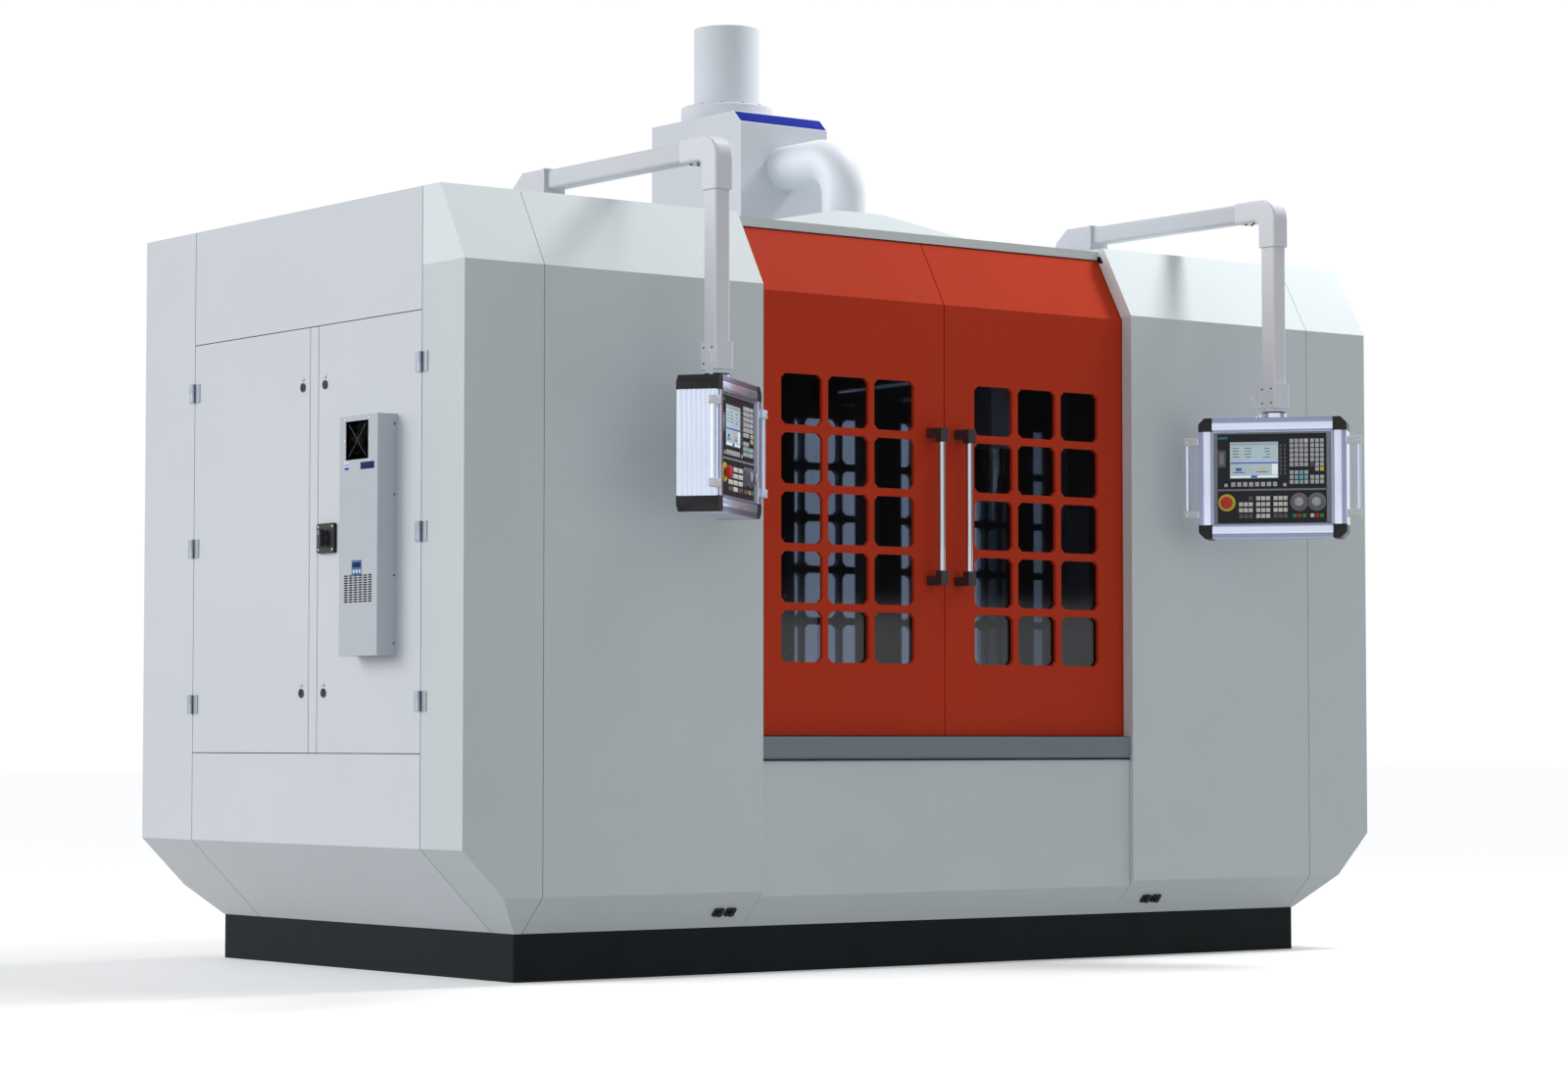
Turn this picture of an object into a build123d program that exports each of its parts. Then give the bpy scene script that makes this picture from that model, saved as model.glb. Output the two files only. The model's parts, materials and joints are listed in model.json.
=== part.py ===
from build123d import *
import math
import os

# Enclosed gantry CNC machining centre for wood and sheet work, millimetres, +Z up.
# Origin: centre of the plinth's underside. The sliding doors face -Y, the electrical cabinet is at -X.

# ---- enclosure ----
HALF_LENGTH = 2150
FRONT_Y = -1137
BACK_Y = 1120
ROOF_Z = 2738
PLINTH_X, PLINTH_Y, PLINTH_Z = 1856, 1009, 166
SIDE_FOLD_Z = 459.5
FRONT_FOLD_Z = 295
BACK_FOLD_Z = PLINTH_Z + BACK_Y - PLINTH_Y
UPPER_FOLD_Z = 2463
UPPER_EDGE_Y = -980
PANEL = 30
SEAM = 3
TOWER_EDGE_X = 885
CORNER_SEAM_X = 1825
FRONT_SEAM_Y = -868
REAR_SEAM_Y = 732
CABINET_BOTTOM_Z, CABINET_TOP_Z = 784, 2310
RETURN_FOLD = 60
LIP_WIDTH, LIP_DEPTH = 15, 52

# ---- front middle section ----
APRON_Y, APRON_FOLD_Z = -1117, 275
SILL_BOTTOM_Z, SILL_TOP_Z, SILL_FRONT_Y = 760, 844, -1125
CENTRE_ROOF_Z = 2728
HEADER_Y, HEADER_BOTTOM_Z = -945, 2695

# ---- sliding doors ----
DOOR_Y, DOOR_BOTTOM_Z, DOOR_FOLD_Z = -1080, 848, 2450
DOOR_TOP = (-942, 2691)
DOOR_INNER_X, DOOR_OUTER_X = 2, 925
DOOR_SKIN, DOOR_RIB = 15, 40
WINDOW, WINDOW_H, WINDOW_CHAMFER = 188, 185.5, 18
WINDOW_X0, WINDOW_PITCH_X = 145, 214.5
WINDOW_Z0, WINDOW_PITCH_Z = 1112, 214.5
HANDLE_X, HANDLE_Z0, HANDLE_Z1, HANDLE_OUT = 66, 1402, 1983, 82

# ---- rear window wall ----
REAR_WALL_Y = 700
REAR_X0, REAR_PITCH_X, REAR_COLUMNS = 513, 200, range(-10, 8)
REAR_Z0, REAR_PITCH_Z, REAR_WINDOW, REAR_WINDOW_H = 1128, 216.4, 182, 186
BAY_LEFT, BAY_RIGHT, BAY_BOTTOM, BAY_TOP = -1670, 2000, 560, 2500

# ---- electrical cabinet on the left side ----
MULLION_Y0, MULLION_Y1 = -175, -116
CABINET_DOOR = 25
HINGE_Z = (964, 1546, 2130)
HINGE_R, HINGE_OUT, HINGE_HALF_H, HINGE_LEAF = 7, 8, 35, 39
LOCKS = {"front_upper": (-222, 2096), "front_lower": (-222, 998),
         "rear_upper": (-67, 2096), "rear_lower": (-67, 998)}
AC_Y0, AC_Y1, AC_Z0, AC_Z1, AC_DEPTH, AC_WALL = -711, -455, 1123, 1960, 80, 4
FAN_Y, FAN_Z, FAN_R = -573, 1873.5, 62
SWITCH_Y, SWITCH_Z = -246.5, 1547

# ---- roof items ----
DUCT_R, DUCT_WALL, DUCT_Y, DUCT_Z, DUCT_BEND = 85, 4, -475, 3074, 150
COLLECTOR_X, COLLECTOR_Y0, COLLECTOR_Y1, COLLECTOR_Z = 212, -96, 503, 3290
COLLECTOR_CHAMFER, COLLECTOR_WALL = 48, 8
STACK_Y, STACK_R, STACK_BORE, STACK_TOP = 284, 131.5, 127.5, 3675
STACK_FLANGE_R, STACK_FLANGE_TOP = 184, 3357
HOOD_BASE_X, HOOD_TOP_X, HOOD_Z = 718, 109, 2850
HOOD_BASE_Y, HOOD_TOP_Y, HOOD_WALL = (-687, -228), (-575, -340), 20

# ---- operator arms and panels ----
ARM_X, ARM_PIVOT_Y, POLE_Y = 1329, -340, -1461
ARM_Z0, ARM_Z1, ARM_HALF_W = 2836, 2910, 32
ELBOW_Y, ELBOW_Z = -1290, 2727
COLLAR_Z0, COLLAR_Z1 = 2104, 2198
PANEL_TOP, PANEL_BOTTOM, PANEL_HALF_W = 2063, 1603, 281
PANEL_FRONT, PANEL_BACK = -82, 64
LEFT_YAW, RIGHT_YAW = 38.4, -50
FACE_HALF_W, FACE_Z0, FACE_Z1, FACE_DEPTH = 225, 1653, 2009, 12
ESTOP = (-175, 1739)
KNOBS = {"feed": (102, 1739), "speed": (168.5, 1739)}

# ---- gantry inside the cabin ----
BED_Z, TABLE_Z = 700, 800
POST_X0, POST_X1, RUNWAY_Z0, RUNWAY_Z1 = 820, 940, 2230, 2350
BRIDGE_Y0, BRIDGE_Y1, BRIDGE_Z0, BRIDGE_Z1 = -480, -280, 2440, 2640
SPINDLE_X, SPINDLE_Y = 566, -690
RAM_HALF, RAM_Z0, RAM_Z1, TOOL_TIP_Z = 55, 1960, 2690, 1682
SCREW_R, SCREW_GAP = 16, 0.3

FIT = 0.05

nodes = {}


def add(name, *solids):
    """Keep one node, made of one or more separate solids."""
    nodes[name] = solids[0] if len(solids) == 1 else Compound(children=list(solids))


def block(x, y, z):
    """Box between three pairs of limits."""
    middle = Pos((x[0] + x[1]) / 2, (y[0] + y[1]) / 2, (z[0] + z[1]) / 2)
    return middle * Box(x[1] - x[0], y[1] - y[0], z[1] - z[0])


def prism(points, along, low, high):
    """Closed outline extruded along one axis. Points hold the other two coordinates in X, Y, Z order."""
    index = "xyz".index(along)
    corners = []
    for point in points:
        corner = list(point)
        corner.insert(index, low)
        corners.append(tuple(corner))
    direction = [0, 0, 0]
    direction[index] = 1
    return extrude(make_face(Polyline(*corners, close=True)), amount=high - low, dir=tuple(direction))


def rod(start, along, radius, length):
    """Cylinder from start towards +X, +Y or +Z."""
    direction = {"x": (1, 0, 0), "y": (0, 1, 0), "z": (0, 0, 1)}[along]
    base = Align.MIN
    return Plane(start, z_dir=direction) * Cylinder(radius, length, align=(Align.CENTER, Align.CENTER, base))


def mirrored(shape):
    return mirror(shape, about=Plane.YZ)


def inset(points, depth):
    """Open outline moved to its right-hand side, with mitred corners."""
    normals = []
    for (a0, b0), (a1, b1) in zip(points, points[1:]):
        length = math.hypot(a1 - a0, b1 - b0)
        normals.append(((b1 - b0) / length, (a0 - a1) / length))
    normals = [normals[0]] + normals + [normals[-1]]
    moved = []
    for point, before, after in zip(points, normals, normals[1:]):
        scale = depth / (1 + before[0] * after[0] + before[1] * after[1])
        moved.append((point[0] + scale * (before[0] + after[0]), point[1] + scale * (before[1] + after[1])))
    return moved


def bent_sheet(points, thickness, x0, x1):
    """Folded sheet whose outer face follows a YZ outline."""
    return prism(points + inset(points, thickness)[::-1], "x", x0, x1)


def chamfered(x0, x1, z0, z1, cut):
    """Rectangle with its four corners cut off."""
    return [(x0 + cut, z0), (x1 - cut, z0), (x1, z0 + cut), (x1, z1 - cut),
            (x1 - cut, z1), (x0 + cut, z1), (x0, z1 - cut), (x0, z0 + cut)]


def build_enclosure():
    below = 60
    slope = (FRONT_FOLD_Z - PLINTH_Z) / (PLINTH_Y + FRONT_Y)
    front = [(-PLINTH_Y - below / slope, PLINTH_Z - below), (FRONT_Y, FRONT_FOLD_Z), (FRONT_Y, UPPER_FOLD_Z),
             (UPPER_EDGE_Y, ROOF_Z), (BACK_Y, ROOF_Z), (BACK_Y, BACK_FOLD_Z), (PLINTH_Y - below, PLINTH_Z - below)]
    side_run = (HALF_LENGTH - PLINTH_X) / (SIDE_FOLD_Z - PLINTH_Z) * below
    low = (PLINTH_X - side_run, PLINTH_Z - below)
    side = [(-low[0], low[1]), (-HALF_LENGTH, SIDE_FOLD_Z), (-HALF_LENGTH, ROOF_Z),
            (HALF_LENGTH, ROOF_Z), (HALF_LENGTH, SIDE_FOLD_Z), low]

    def hull(depth):
        along_x = prism(inset(front, depth), "x", -HALF_LENGTH - 1, HALF_LENGTH + 1)
        return along_x & prism(inset(side, depth), "y", FRONT_Y - 1, BACK_Y + 1)

    far = HALF_LENGTH + 10
    outer = hull(0) & block((-far, far), (-far, far), (PLINTH_Z, far * 2))
    shell = outer - hull(PANEL)
    thick_shell = outer - hull(LIP_DEPTH)

    def cut(x, y, z=(0, 3000)):
        return shell & block(x, y, z)

    half = SEAM / 2
    front_y = (-far, FRONT_SEAM_Y - half)
    tower = cut((TOWER_EDGE_X, CORNER_SEAM_X - half), front_y)
    lip = thick_shell & block((TOWER_EDGE_X, TOWER_EDGE_X + LIP_WIDTH), front_y, (SILL_TOP_Z + 2, HEADER_BOTTOM_Z - 15))
    tower = tower + lip
    corner = cut((CORNER_SEAM_X + half, far), front_y)
    add("front_tower_panels", tower, corner, mirrored(tower), mirrored(corner))

    rim = HALF_LENGTH - RETURN_FOLD
    middle_y = (FRONT_SEAM_Y + half, REAR_SEAM_Y - half)
    slant_x = PLINTH_X - 20
    rear_y = (REAR_SEAM_Y + half, far)
    rear_strip = cut((-far, -rim), rear_y) + cut((-far, -slant_x), rear_y, (0, SIDE_FOLD_Z))
    upper = cut((-far, -rim), middle_y, (CABINET_TOP_Z + half, 3000))
    lower = cut((-far, 0), middle_y, (0, CABINET_BOTTOM_Z - half))
    mullion = block((-HALF_LENGTH, -HALF_LENGTH + PANEL), (MULLION_Y0 + half, MULLION_Y1 - half),
                    (CABINET_BOTTOM_Z + half, CABINET_TOP_Z - half))
    lower = lower & block((-far, -slant_x), (-far, far), (0, 3000))
    add("left_side_panels", rear_strip, upper, lower, mullion)
    access = block((HALF_LENGTH - PANEL, HALF_LENGTH), middle_y, (CABINET_BOTTOM_Z + half, CABINET_TOP_Z - half))
    add("right_side_panels", mirrored(rear_strip), mirrored(upper), mirrored(lower), access)

    back = (PLINTH_Y - 49, far)
    inner_rim = rim - half
    roof_under = ROOF_Z - PANEL - half
    low_x = slant_x - half
    cabinet_back = cut((-inner_rim, BAY_LEFT - half), back, (SIDE_FOLD_Z, roof_under))
    cabinet_back = cabinet_back + cut((-low_x, BAY_LEFT - half), back, (0, SIDE_FOLD_Z))
    low_back = cut((BAY_LEFT + half, low_x), back, (0, SIDE_FOLD_Z))
    low_back = low_back + cut((BAY_LEFT + half, inner_rim), back, (SIDE_FOLD_Z, BAY_BOTTOM))
    lintel = cut((BAY_LEFT + half, inner_rim), back, (BAY_TOP, roof_under))
    edge = cut((BAY_RIGHT, inner_rim), back, (BAY_BOTTOM + half, BAY_TOP - half))
    top_edge = block((half - TOWER_EDGE_X, TOWER_EDGE_X - half), (BACK_Y - PANEL, BACK_Y),
                     (roof_under - 1, CENTRE_ROOF_Z))
    lintel = lintel + top_edge
    add("rear_panels", cabinet_back, low_back, lintel, edge)

    roof_y = (FRONT_SEAM_Y + half, far)
    tower_roof = cut((TOWER_EDGE_X, inner_rim), roof_y, (ROOF_Z - PANEL - 1, 3000))
    centre_edge = TOWER_EDGE_X - half
    centre = block((-centre_edge, centre_edge), (HEADER_Y + 40, BACK_Y - PANEL - half),
                   (CENTRE_ROOF_Z - PANEL, CENTRE_ROOF_Z))
    centre = centre - rod((0, DUCT_Y, CENTRE_ROOF_Z - 2 * PANEL), "z", DUCT_R, 3 * PANEL)
    header = block((-centre_edge, centre_edge), (HEADER_Y, HEADER_Y + 38), (HEADER_BOTTOM_Z, CENTRE_ROOF_Z))
    add("roof_panels", tower_roof, mirrored(tower_roof), centre, header)

    apron_line = [(-PLINTH_Y, PLINTH_Z), (APRON_Y, APRON_FOLD_Z), (APRON_Y, SILL_BOTTOM_Z - half)]
    add("front_apron", bent_sheet(apron_line, PANEL, -centre_edge, centre_edge))
    sill = [(APRON_Y, SILL_BOTTOM_Z), (SILL_FRONT_Y, SILL_BOTTOM_Z + 19), (SILL_FRONT_Y, SILL_TOP_Z),
            (DOOR_Y + 44, SILL_TOP_Z), (DOOR_Y + 44, SILL_BOTTOM_Z)]
    add("door_sill", prism(sill, "x", -centre_edge, centre_edge))


def build_plinth():
    """Cast base: a deck with ribs below, so that it is light and stands flat."""
    rib, deck = 30, 40
    cells_x, cells_y = 10, 6
    pitch_x = (2 * PLINTH_X - rib) / cells_x
    pitch_y = (2 * PLINTH_Y - rib) / cells_y
    base = block((-PLINTH_X, PLINTH_X), (-PLINTH_Y, PLINTH_Y), (0, PLINTH_Z))
    base = fillet(base.edges().filter_by(Axis.Z), 14)
    cell = Box(pitch_x - rib, pitch_y - rib, PLINTH_Z - deck, align=(Align.CENTER, Align.CENTER, Align.MIN))
    cells = [Pos((i - (cells_x - 1) / 2) * pitch_x, (j - (cells_y - 1) / 2) * pitch_y, 0) * cell
             for i in range(cells_x) for j in range(cells_y)]
    base = base - cells
    boss, hole = 46, 14
    for x in (-1, 1):
        for y in (-1, 1):
            place = (x * (PLINTH_X - 70), y * (PLINTH_Y - 70), 0)
            base = base + rod(place, "z", boss, PLINTH_Z)
            base = base - rod(place, "z", hole, PLINTH_Z)
    add("base_plinth", base)


def build_rear_wall():
    right_x, low = HALF_LENGTH - PANEL - 6, PLINTH_Z + 4
    corner_x = PLINTH_X - 44
    outline = [(BAY_LEFT + 4, low), (corner_x, low), (right_x, low + right_x - corner_x),
               (right_x, 2690), (BAY_LEFT + 4, 2690)]
    wall = prism(outline, "y", REAR_WALL_Y, REAR_WALL_Y + PANEL)
    holes = []
    for column in REAR_COLUMNS:
        x = REAR_X0 + column * REAR_PITCH_X
        for row in range(5):
            z = REAR_Z0 + row * REAR_PITCH_Z
            outline = chamfered(x, x + REAR_WINDOW, z, z + REAR_WINDOW_H, WINDOW_CHAMFER)
            holes.append(prism(outline, "y", REAR_WALL_Y - 1, REAR_WALL_Y + PANEL + 1))
    add("rear_window_wall", wall - holes)
    first, last = REAR_X0 + REAR_COLUMNS[0] * REAR_PITCH_X, REAR_X0 + REAR_COLUMNS[-1] * REAR_PITCH_X + REAR_WINDOW
    top = REAR_Z0 + 4 * REAR_PITCH_Z + REAR_WINDOW_H
    behind = (REAR_WALL_Y + PANEL, REAR_WALL_Y + PANEL + 6)
    add("rear_window_glass", block((first - 15, last + 15), behind, (REAR_Z0 - 15, top + 15)))


def build_doors():
    outline = [(DOOR_Y, DOOR_BOTTOM_Z), (DOOR_Y, DOOR_FOLD_Z), DOOR_TOP]
    leaf = bent_sheet(outline, DOOR_SKIN, DOOR_INNER_X, DOOR_OUTER_X)
    for x in (DOOR_INNER_X, DOOR_OUTER_X - 25):
        leaf = leaf + bent_sheet(outline, DOOR_RIB, x, x + 25)
    foot = block((DOOR_INNER_X, DOOR_OUTER_X), (DOOR_Y, DOOR_Y + DOOR_RIB), (DOOR_BOTTOM_Z, DOOR_BOTTOM_Z + 25))
    leaf = leaf + foot
    holes = []
    for column in range(3):
        x = WINDOW_X0 + column * WINDOW_PITCH_X
        for row in range(5):
            z = WINDOW_Z0 + row * WINDOW_PITCH_Z
            holes.append(prism(chamfered(x, x + WINDOW, z, z + WINDOW_H, WINDOW_CHAMFER), "y",
                               DOOR_Y - 1, DOOR_Y + DOOR_SKIN + 1))
    leaf = leaf - holes
    last_x = WINDOW_X0 + 2 * WINDOW_PITCH_X + WINDOW
    last_z = WINDOW_Z0 + 4 * WINDOW_PITCH_Z + WINDOW_H
    glass = block((WINDOW_X0 - 20, last_x + 20), (DOOR_Y + DOOR_SKIN, DOOR_Y + DOOR_SKIN + 6),
                  (WINDOW_Z0 - 20, last_z + 20))
    handle = rod((HANDLE_X, DOOR_Y - HANDLE_OUT + 17, HANDLE_Z0 + 10), "z", 12.5, HANDLE_Z1 - HANDLE_Z0 - 20)
    for low, high, sleeve in ((HANDLE_Z0, HANDLE_Z0 + 34, (HANDLE_Z0, HANDLE_Z0 + 53)),
                              (HANDLE_Z1 - 34, HANDLE_Z1, (HANDLE_Z1 - 53, HANDLE_Z1))):
        handle = handle + block((HANDLE_X - 20, HANDLE_X + 20), (DOOR_Y - HANDLE_OUT + 20, DOOR_Y), (low, high))
        handle = handle + block((HANDLE_X - 18, HANDLE_X + 18), (DOOR_Y - HANDLE_OUT, DOOR_Y - HANDLE_OUT + 34), sleeve)
    for side, place in (("right", lambda shape: shape), ("left", mirrored)):
        add(side + "_door_leaf", place(leaf))
        add(side + "_door_glass", place(glass))
        add(side + "_door_handle", place(handle))


def hinge_pieces(line_y, towards_door):
    """Three butt hinges on the outer face: fixed leaves with pins, and moving leaves."""
    skin_x = -HALF_LENGTH
    axis_x = skin_x - HINGE_OUT
    pin_r, leaf_t = 3, 3

    def strip(inner, outer, z):
        y = sorted((line_y + inner, line_y + outer))
        return block((skin_x - leaf_t, skin_x), y, z)

    fixed, moving = [], []
    for z in HINGE_Z:
        low, high = (z - HINGE_HALF_H, z - 0.5), (z + 0.5, z + HINGE_HALF_H)
        both = (low[0], high[1])
        part = rod((axis_x, line_y, low[0]), "z", HINGE_R, low[1] - low[0])
        part = part + strip(0, -HINGE_OUT * towards_door, low) + rod((axis_x, line_y, low[0]), "z", pin_r, 70)
        fixed.append(part + strip(-HINGE_OUT * towards_door, -HINGE_LEAF * towards_door, both))
        part = rod((axis_x, line_y, high[0]), "z", HINGE_R, high[1] - high[0])
        part = part + strip(2 * towards_door, HINGE_OUT * towards_door, high)
        part = part - rod((axis_x, line_y, low[0]), "z", pin_r + FIT, 80)
        moving.append(part + strip(HINGE_OUT * towards_door, HINGE_LEAF * towards_door, both))
    return fixed, moving


def build_cabinet():
    gap = SEAM / 2
    skin = (-HALF_LENGTH, -HALF_LENGTH + CABINET_DOOR)
    height = (CABINET_BOTTOM_Z + gap, CABINET_TOP_Z - gap)
    leaves = {"front": block(skin, (FRONT_SEAM_Y + gap, MULLION_Y0 - gap), height),
              "rear": block(skin, (MULLION_Y1 + gap, REAR_SEAM_Y - gap), height)}
    front_fixed, front_moving = hinge_pieces(FRONT_SEAM_Y, 1)
    rear_fixed, rear_moving = hinge_pieces(REAR_SEAM_Y, -1)
    add("cabinet_hinge_posts", *front_fixed, *rear_fixed)

    head_r, body_r, cam_x = 16, 9, -HALF_LENGTH + PANEL + 4
    for name, (y, z) in LOCKS.items():
        door = name.split("_")[0]
        leaves[door] = leaves[door] - rod((skin[0] - 1, y, z), "x", body_r + FIT, CABINET_DOOR + 2)
        lock = rod((skin[0] - 4, y, z), "x", head_r, 4) + rod((skin[0] - 1, y, z), "x", body_r, cam_x + 7 - skin[0])
        lock = lock - block((skin[0] - 5, skin[0] - 2), (y - 2, y + 2), (z - 11, z + 11))
        lock = lock + block((cam_x, cam_x + 6), (y - 9, y + 9), (z - 9, z + 75))
        add("cabinet_lock_" + name, lock)

    add("cabinet_front_door", leaves["front"], *front_moving)
    add("cabinet_rear_door", leaves["rear"], *rear_moving)

    outline = [(-940, 172), (955, 172), (1084, 296), (1084, 2690), (-885, 2690), (-1025, 2440), (-1025, 254)]
    partition = prism(outline, "x", BAY_LEFT - PANEL, BAY_LEFT)
    plate_x = BAY_LEFT - 70
    plate = block((plate_x, plate_x + 4), (-820, 690), (520, 2290))
    device_rows = ((620, 280, 6, 200), (1050, 180, 9, 110), (1400, 150, 12, 90), (1750, 240, 5, 140), (2120, 90, 14, 60))
    for z, tall, count, deep in device_rows:
        pitch = 1400 / count
        for i in range(count):
            y = -760 + (i + 0.5) * pitch
            plate = plate + block((plate_x - deep, plate_x), (y - pitch * 0.4, y + pitch * 0.4), (z - tall / 2, z + tall / 2))
    stand = [block((plate_x + 4, BAY_LEFT - PANEL), (y - 15, y + 15), (600, 2200)) for y in (-700, 0, 600)]
    for bar in stand:
        plate = plate + bar
    add("cabinet_interior", partition, plate)

    build_cooling_unit()
    build_switch()


def build_cooling_unit():
    back, face = -HALF_LENGTH, -HALF_LENGTH - AC_DEPTH
    wall = AC_WALL
    unit = block((face, back), (AC_Y0, AC_Y1), (AC_Z0, AC_Z1))
    unit = fillet(unit.edges().filter_by(Axis.Z).sort_by(Axis.X)[:2], 3)
    unit = unit - block((face + wall, back - wall), (AC_Y0 + wall, AC_Y1 - wall), (AC_Z0 + wall, AC_Z1 - wall))
    unit = unit - block((face - 1, face + wall + 1), (FAN_Y - 76, FAN_Y + 76), (FAN_Z - 67.5, FAN_Z + 67.5))
    slots = []
    for column in range(6):
        for row in range(12):
            y, z = AC_Y0 + 48 + column * 32, AC_Z0 + 188 + row * 8.2
            slots.append(block((face - 1, face + wall + 1), (y - 13, y + 13), (z - 2.5, z + 2.5)))
    unit = unit - slots
    boss = rod((face + 34, FAN_Y, FAN_Z), "x", 24, AC_DEPTH - 34 - wall / 2)
    unit = unit + (boss - rod((face + 33, FAN_Y, FAN_Z), "x", 4 + FIT, 25))
    add("cooling_unit", unit)

    hub_x = face + 12
    fan = rod((hub_x, FAN_Y, FAN_Z), "x", 20, 18) + rod((hub_x + 10, FAN_Y, FAN_Z), "x", 4, 34)
    blades = 5
    for i in range(blades):
        blade = Pos(hub_x + 9, FAN_Y, FAN_Z) * Rot(360 / blades * i, 0, 0) * Pos(0, 0, 39) * Rot(0, 0, 35) * Box(2, 34, 46)
        fan = fan + blade
    add("cooling_fan", fan)


def build_switch():
    skin = -HALF_LENGTH
    y, z = SWITCH_Y, SWITCH_Z
    plate = block((skin - 12, skin), (y - 59.5, y + 59.5), (z - 53, z + 53))
    plate = fillet(plate.edges().filter_by(Axis.X), 8)
    add("isolator_plate", plate - rod((skin - 13, y, z), "x", 6 + FIT, 11))
    knob = rod((skin - 22, y, z), "x", 27, 9.5) + rod((skin - 21, y, z), "x", 6, 18)
    grip = block((skin - 40, skin - 22), (y - 11, y + 11), (z - 33, z + 33))
    add("isolator_handle", knob + fillet(grip.edges().filter_by(Axis.X), 9))


def build_roof_items():
    base_z = CENTRE_ROOF_Z

    def frustum(wall, low):
        rise = HOOD_Z - base_z
        slope_x = (HOOD_BASE_X - HOOD_TOP_X) / rise
        base_x = HOOD_BASE_X - wall * slope_x
        top = HOOD_Z - wall
        base = [(-base_x, HOOD_BASE_Y[0] + wall), (base_x, HOOD_BASE_Y[0] + wall),
                (base_x, HOOD_BASE_Y[1] - wall), (-base_x, HOOD_BASE_Y[1] - wall)]
        cap = [(-HOOD_TOP_X, HOOD_TOP_Y[0]), (HOOD_TOP_X, HOOD_TOP_Y[0]),
               (HOOD_TOP_X, HOOD_TOP_Y[1]), (-HOOD_TOP_X, HOOD_TOP_Y[1])]
        faces = []
        for points, z in ((base, low), (cap, top)):
            faces.append(make_face(Polyline(*[(x, y, z) for x, y in points], close=True)))
        return loft(faces)

    hood = frustum(0, base_z) - frustum(HOOD_WALL, base_z)
    hood = hood - rod((0, DUCT_Y, HOOD_Z - 2 * HOOD_WALL), "z", DUCT_R - DUCT_WALL, 3 * HOOD_WALL)
    add("roof_hood", hood)

    def bend(radius):
        rise = rod((0, DUCT_Y, HOOD_Z), "z", radius, DUCT_Z - DUCT_BEND - HOOD_Z)
        end_y = DUCT_Y + DUCT_BEND
        run = rod((0, end_y, DUCT_Z), "y", radius, COLLECTOR_Y0 - end_y)
        ring = make_face(Plane((0, DUCT_Y, DUCT_Z - DUCT_BEND)) * Circle(radius).edge())
        turn = revolve(ring, Axis((0, end_y, DUCT_Z - DUCT_BEND), (-1, 0, 0)), 90)
        return rise + turn + run

    add("suction_duct", bend(DUCT_R) - bend(DUCT_R - DUCT_WALL))

    wall = COLLECTOR_WALL
    cut = COLLECTOR_CHAMFER

    def chest(depth, z0):
        y0, y1, z1 = COLLECTOR_Y0 + depth, COLLECTOR_Y1 - depth, COLLECTOR_Z - depth
        outline = [(y0, z0), (y0, z1 - cut), (y0 + cut, z1), (y1, z1), (y1, z0)]
        return prism(outline, "x", -COLLECTOR_X + depth, COLLECTOR_X - depth)

    box = chest(0, base_z) - chest(wall, base_z + wall)
    box = box - rod((0, COLLECTOR_Y0 - 1, DUCT_Z), "y", DUCT_R - DUCT_WALL, wall + 2)
    box = box - rod((0, STACK_Y, COLLECTOR_Z - wall - 1), "z", STACK_BORE, wall + 2)
    add("mist_collector", box)

    pipe = rod((0, STACK_Y, COLLECTOR_Z), "z", STACK_FLANGE_R, STACK_FLANGE_TOP - COLLECTOR_Z)
    pipe = fillet(pipe.edges().sort_by(Axis.Z)[-1:], 6)
    pipe = pipe + rod((0, STACK_Y, COLLECTOR_Z), "z", STACK_R, STACK_TOP - COLLECTOR_Z)
    add("exhaust_stack", pipe - rod((0, STACK_Y, COLLECTOR_Z - 1), "z", STACK_BORE, STACK_TOP - COLLECTOR_Z + 2))


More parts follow.
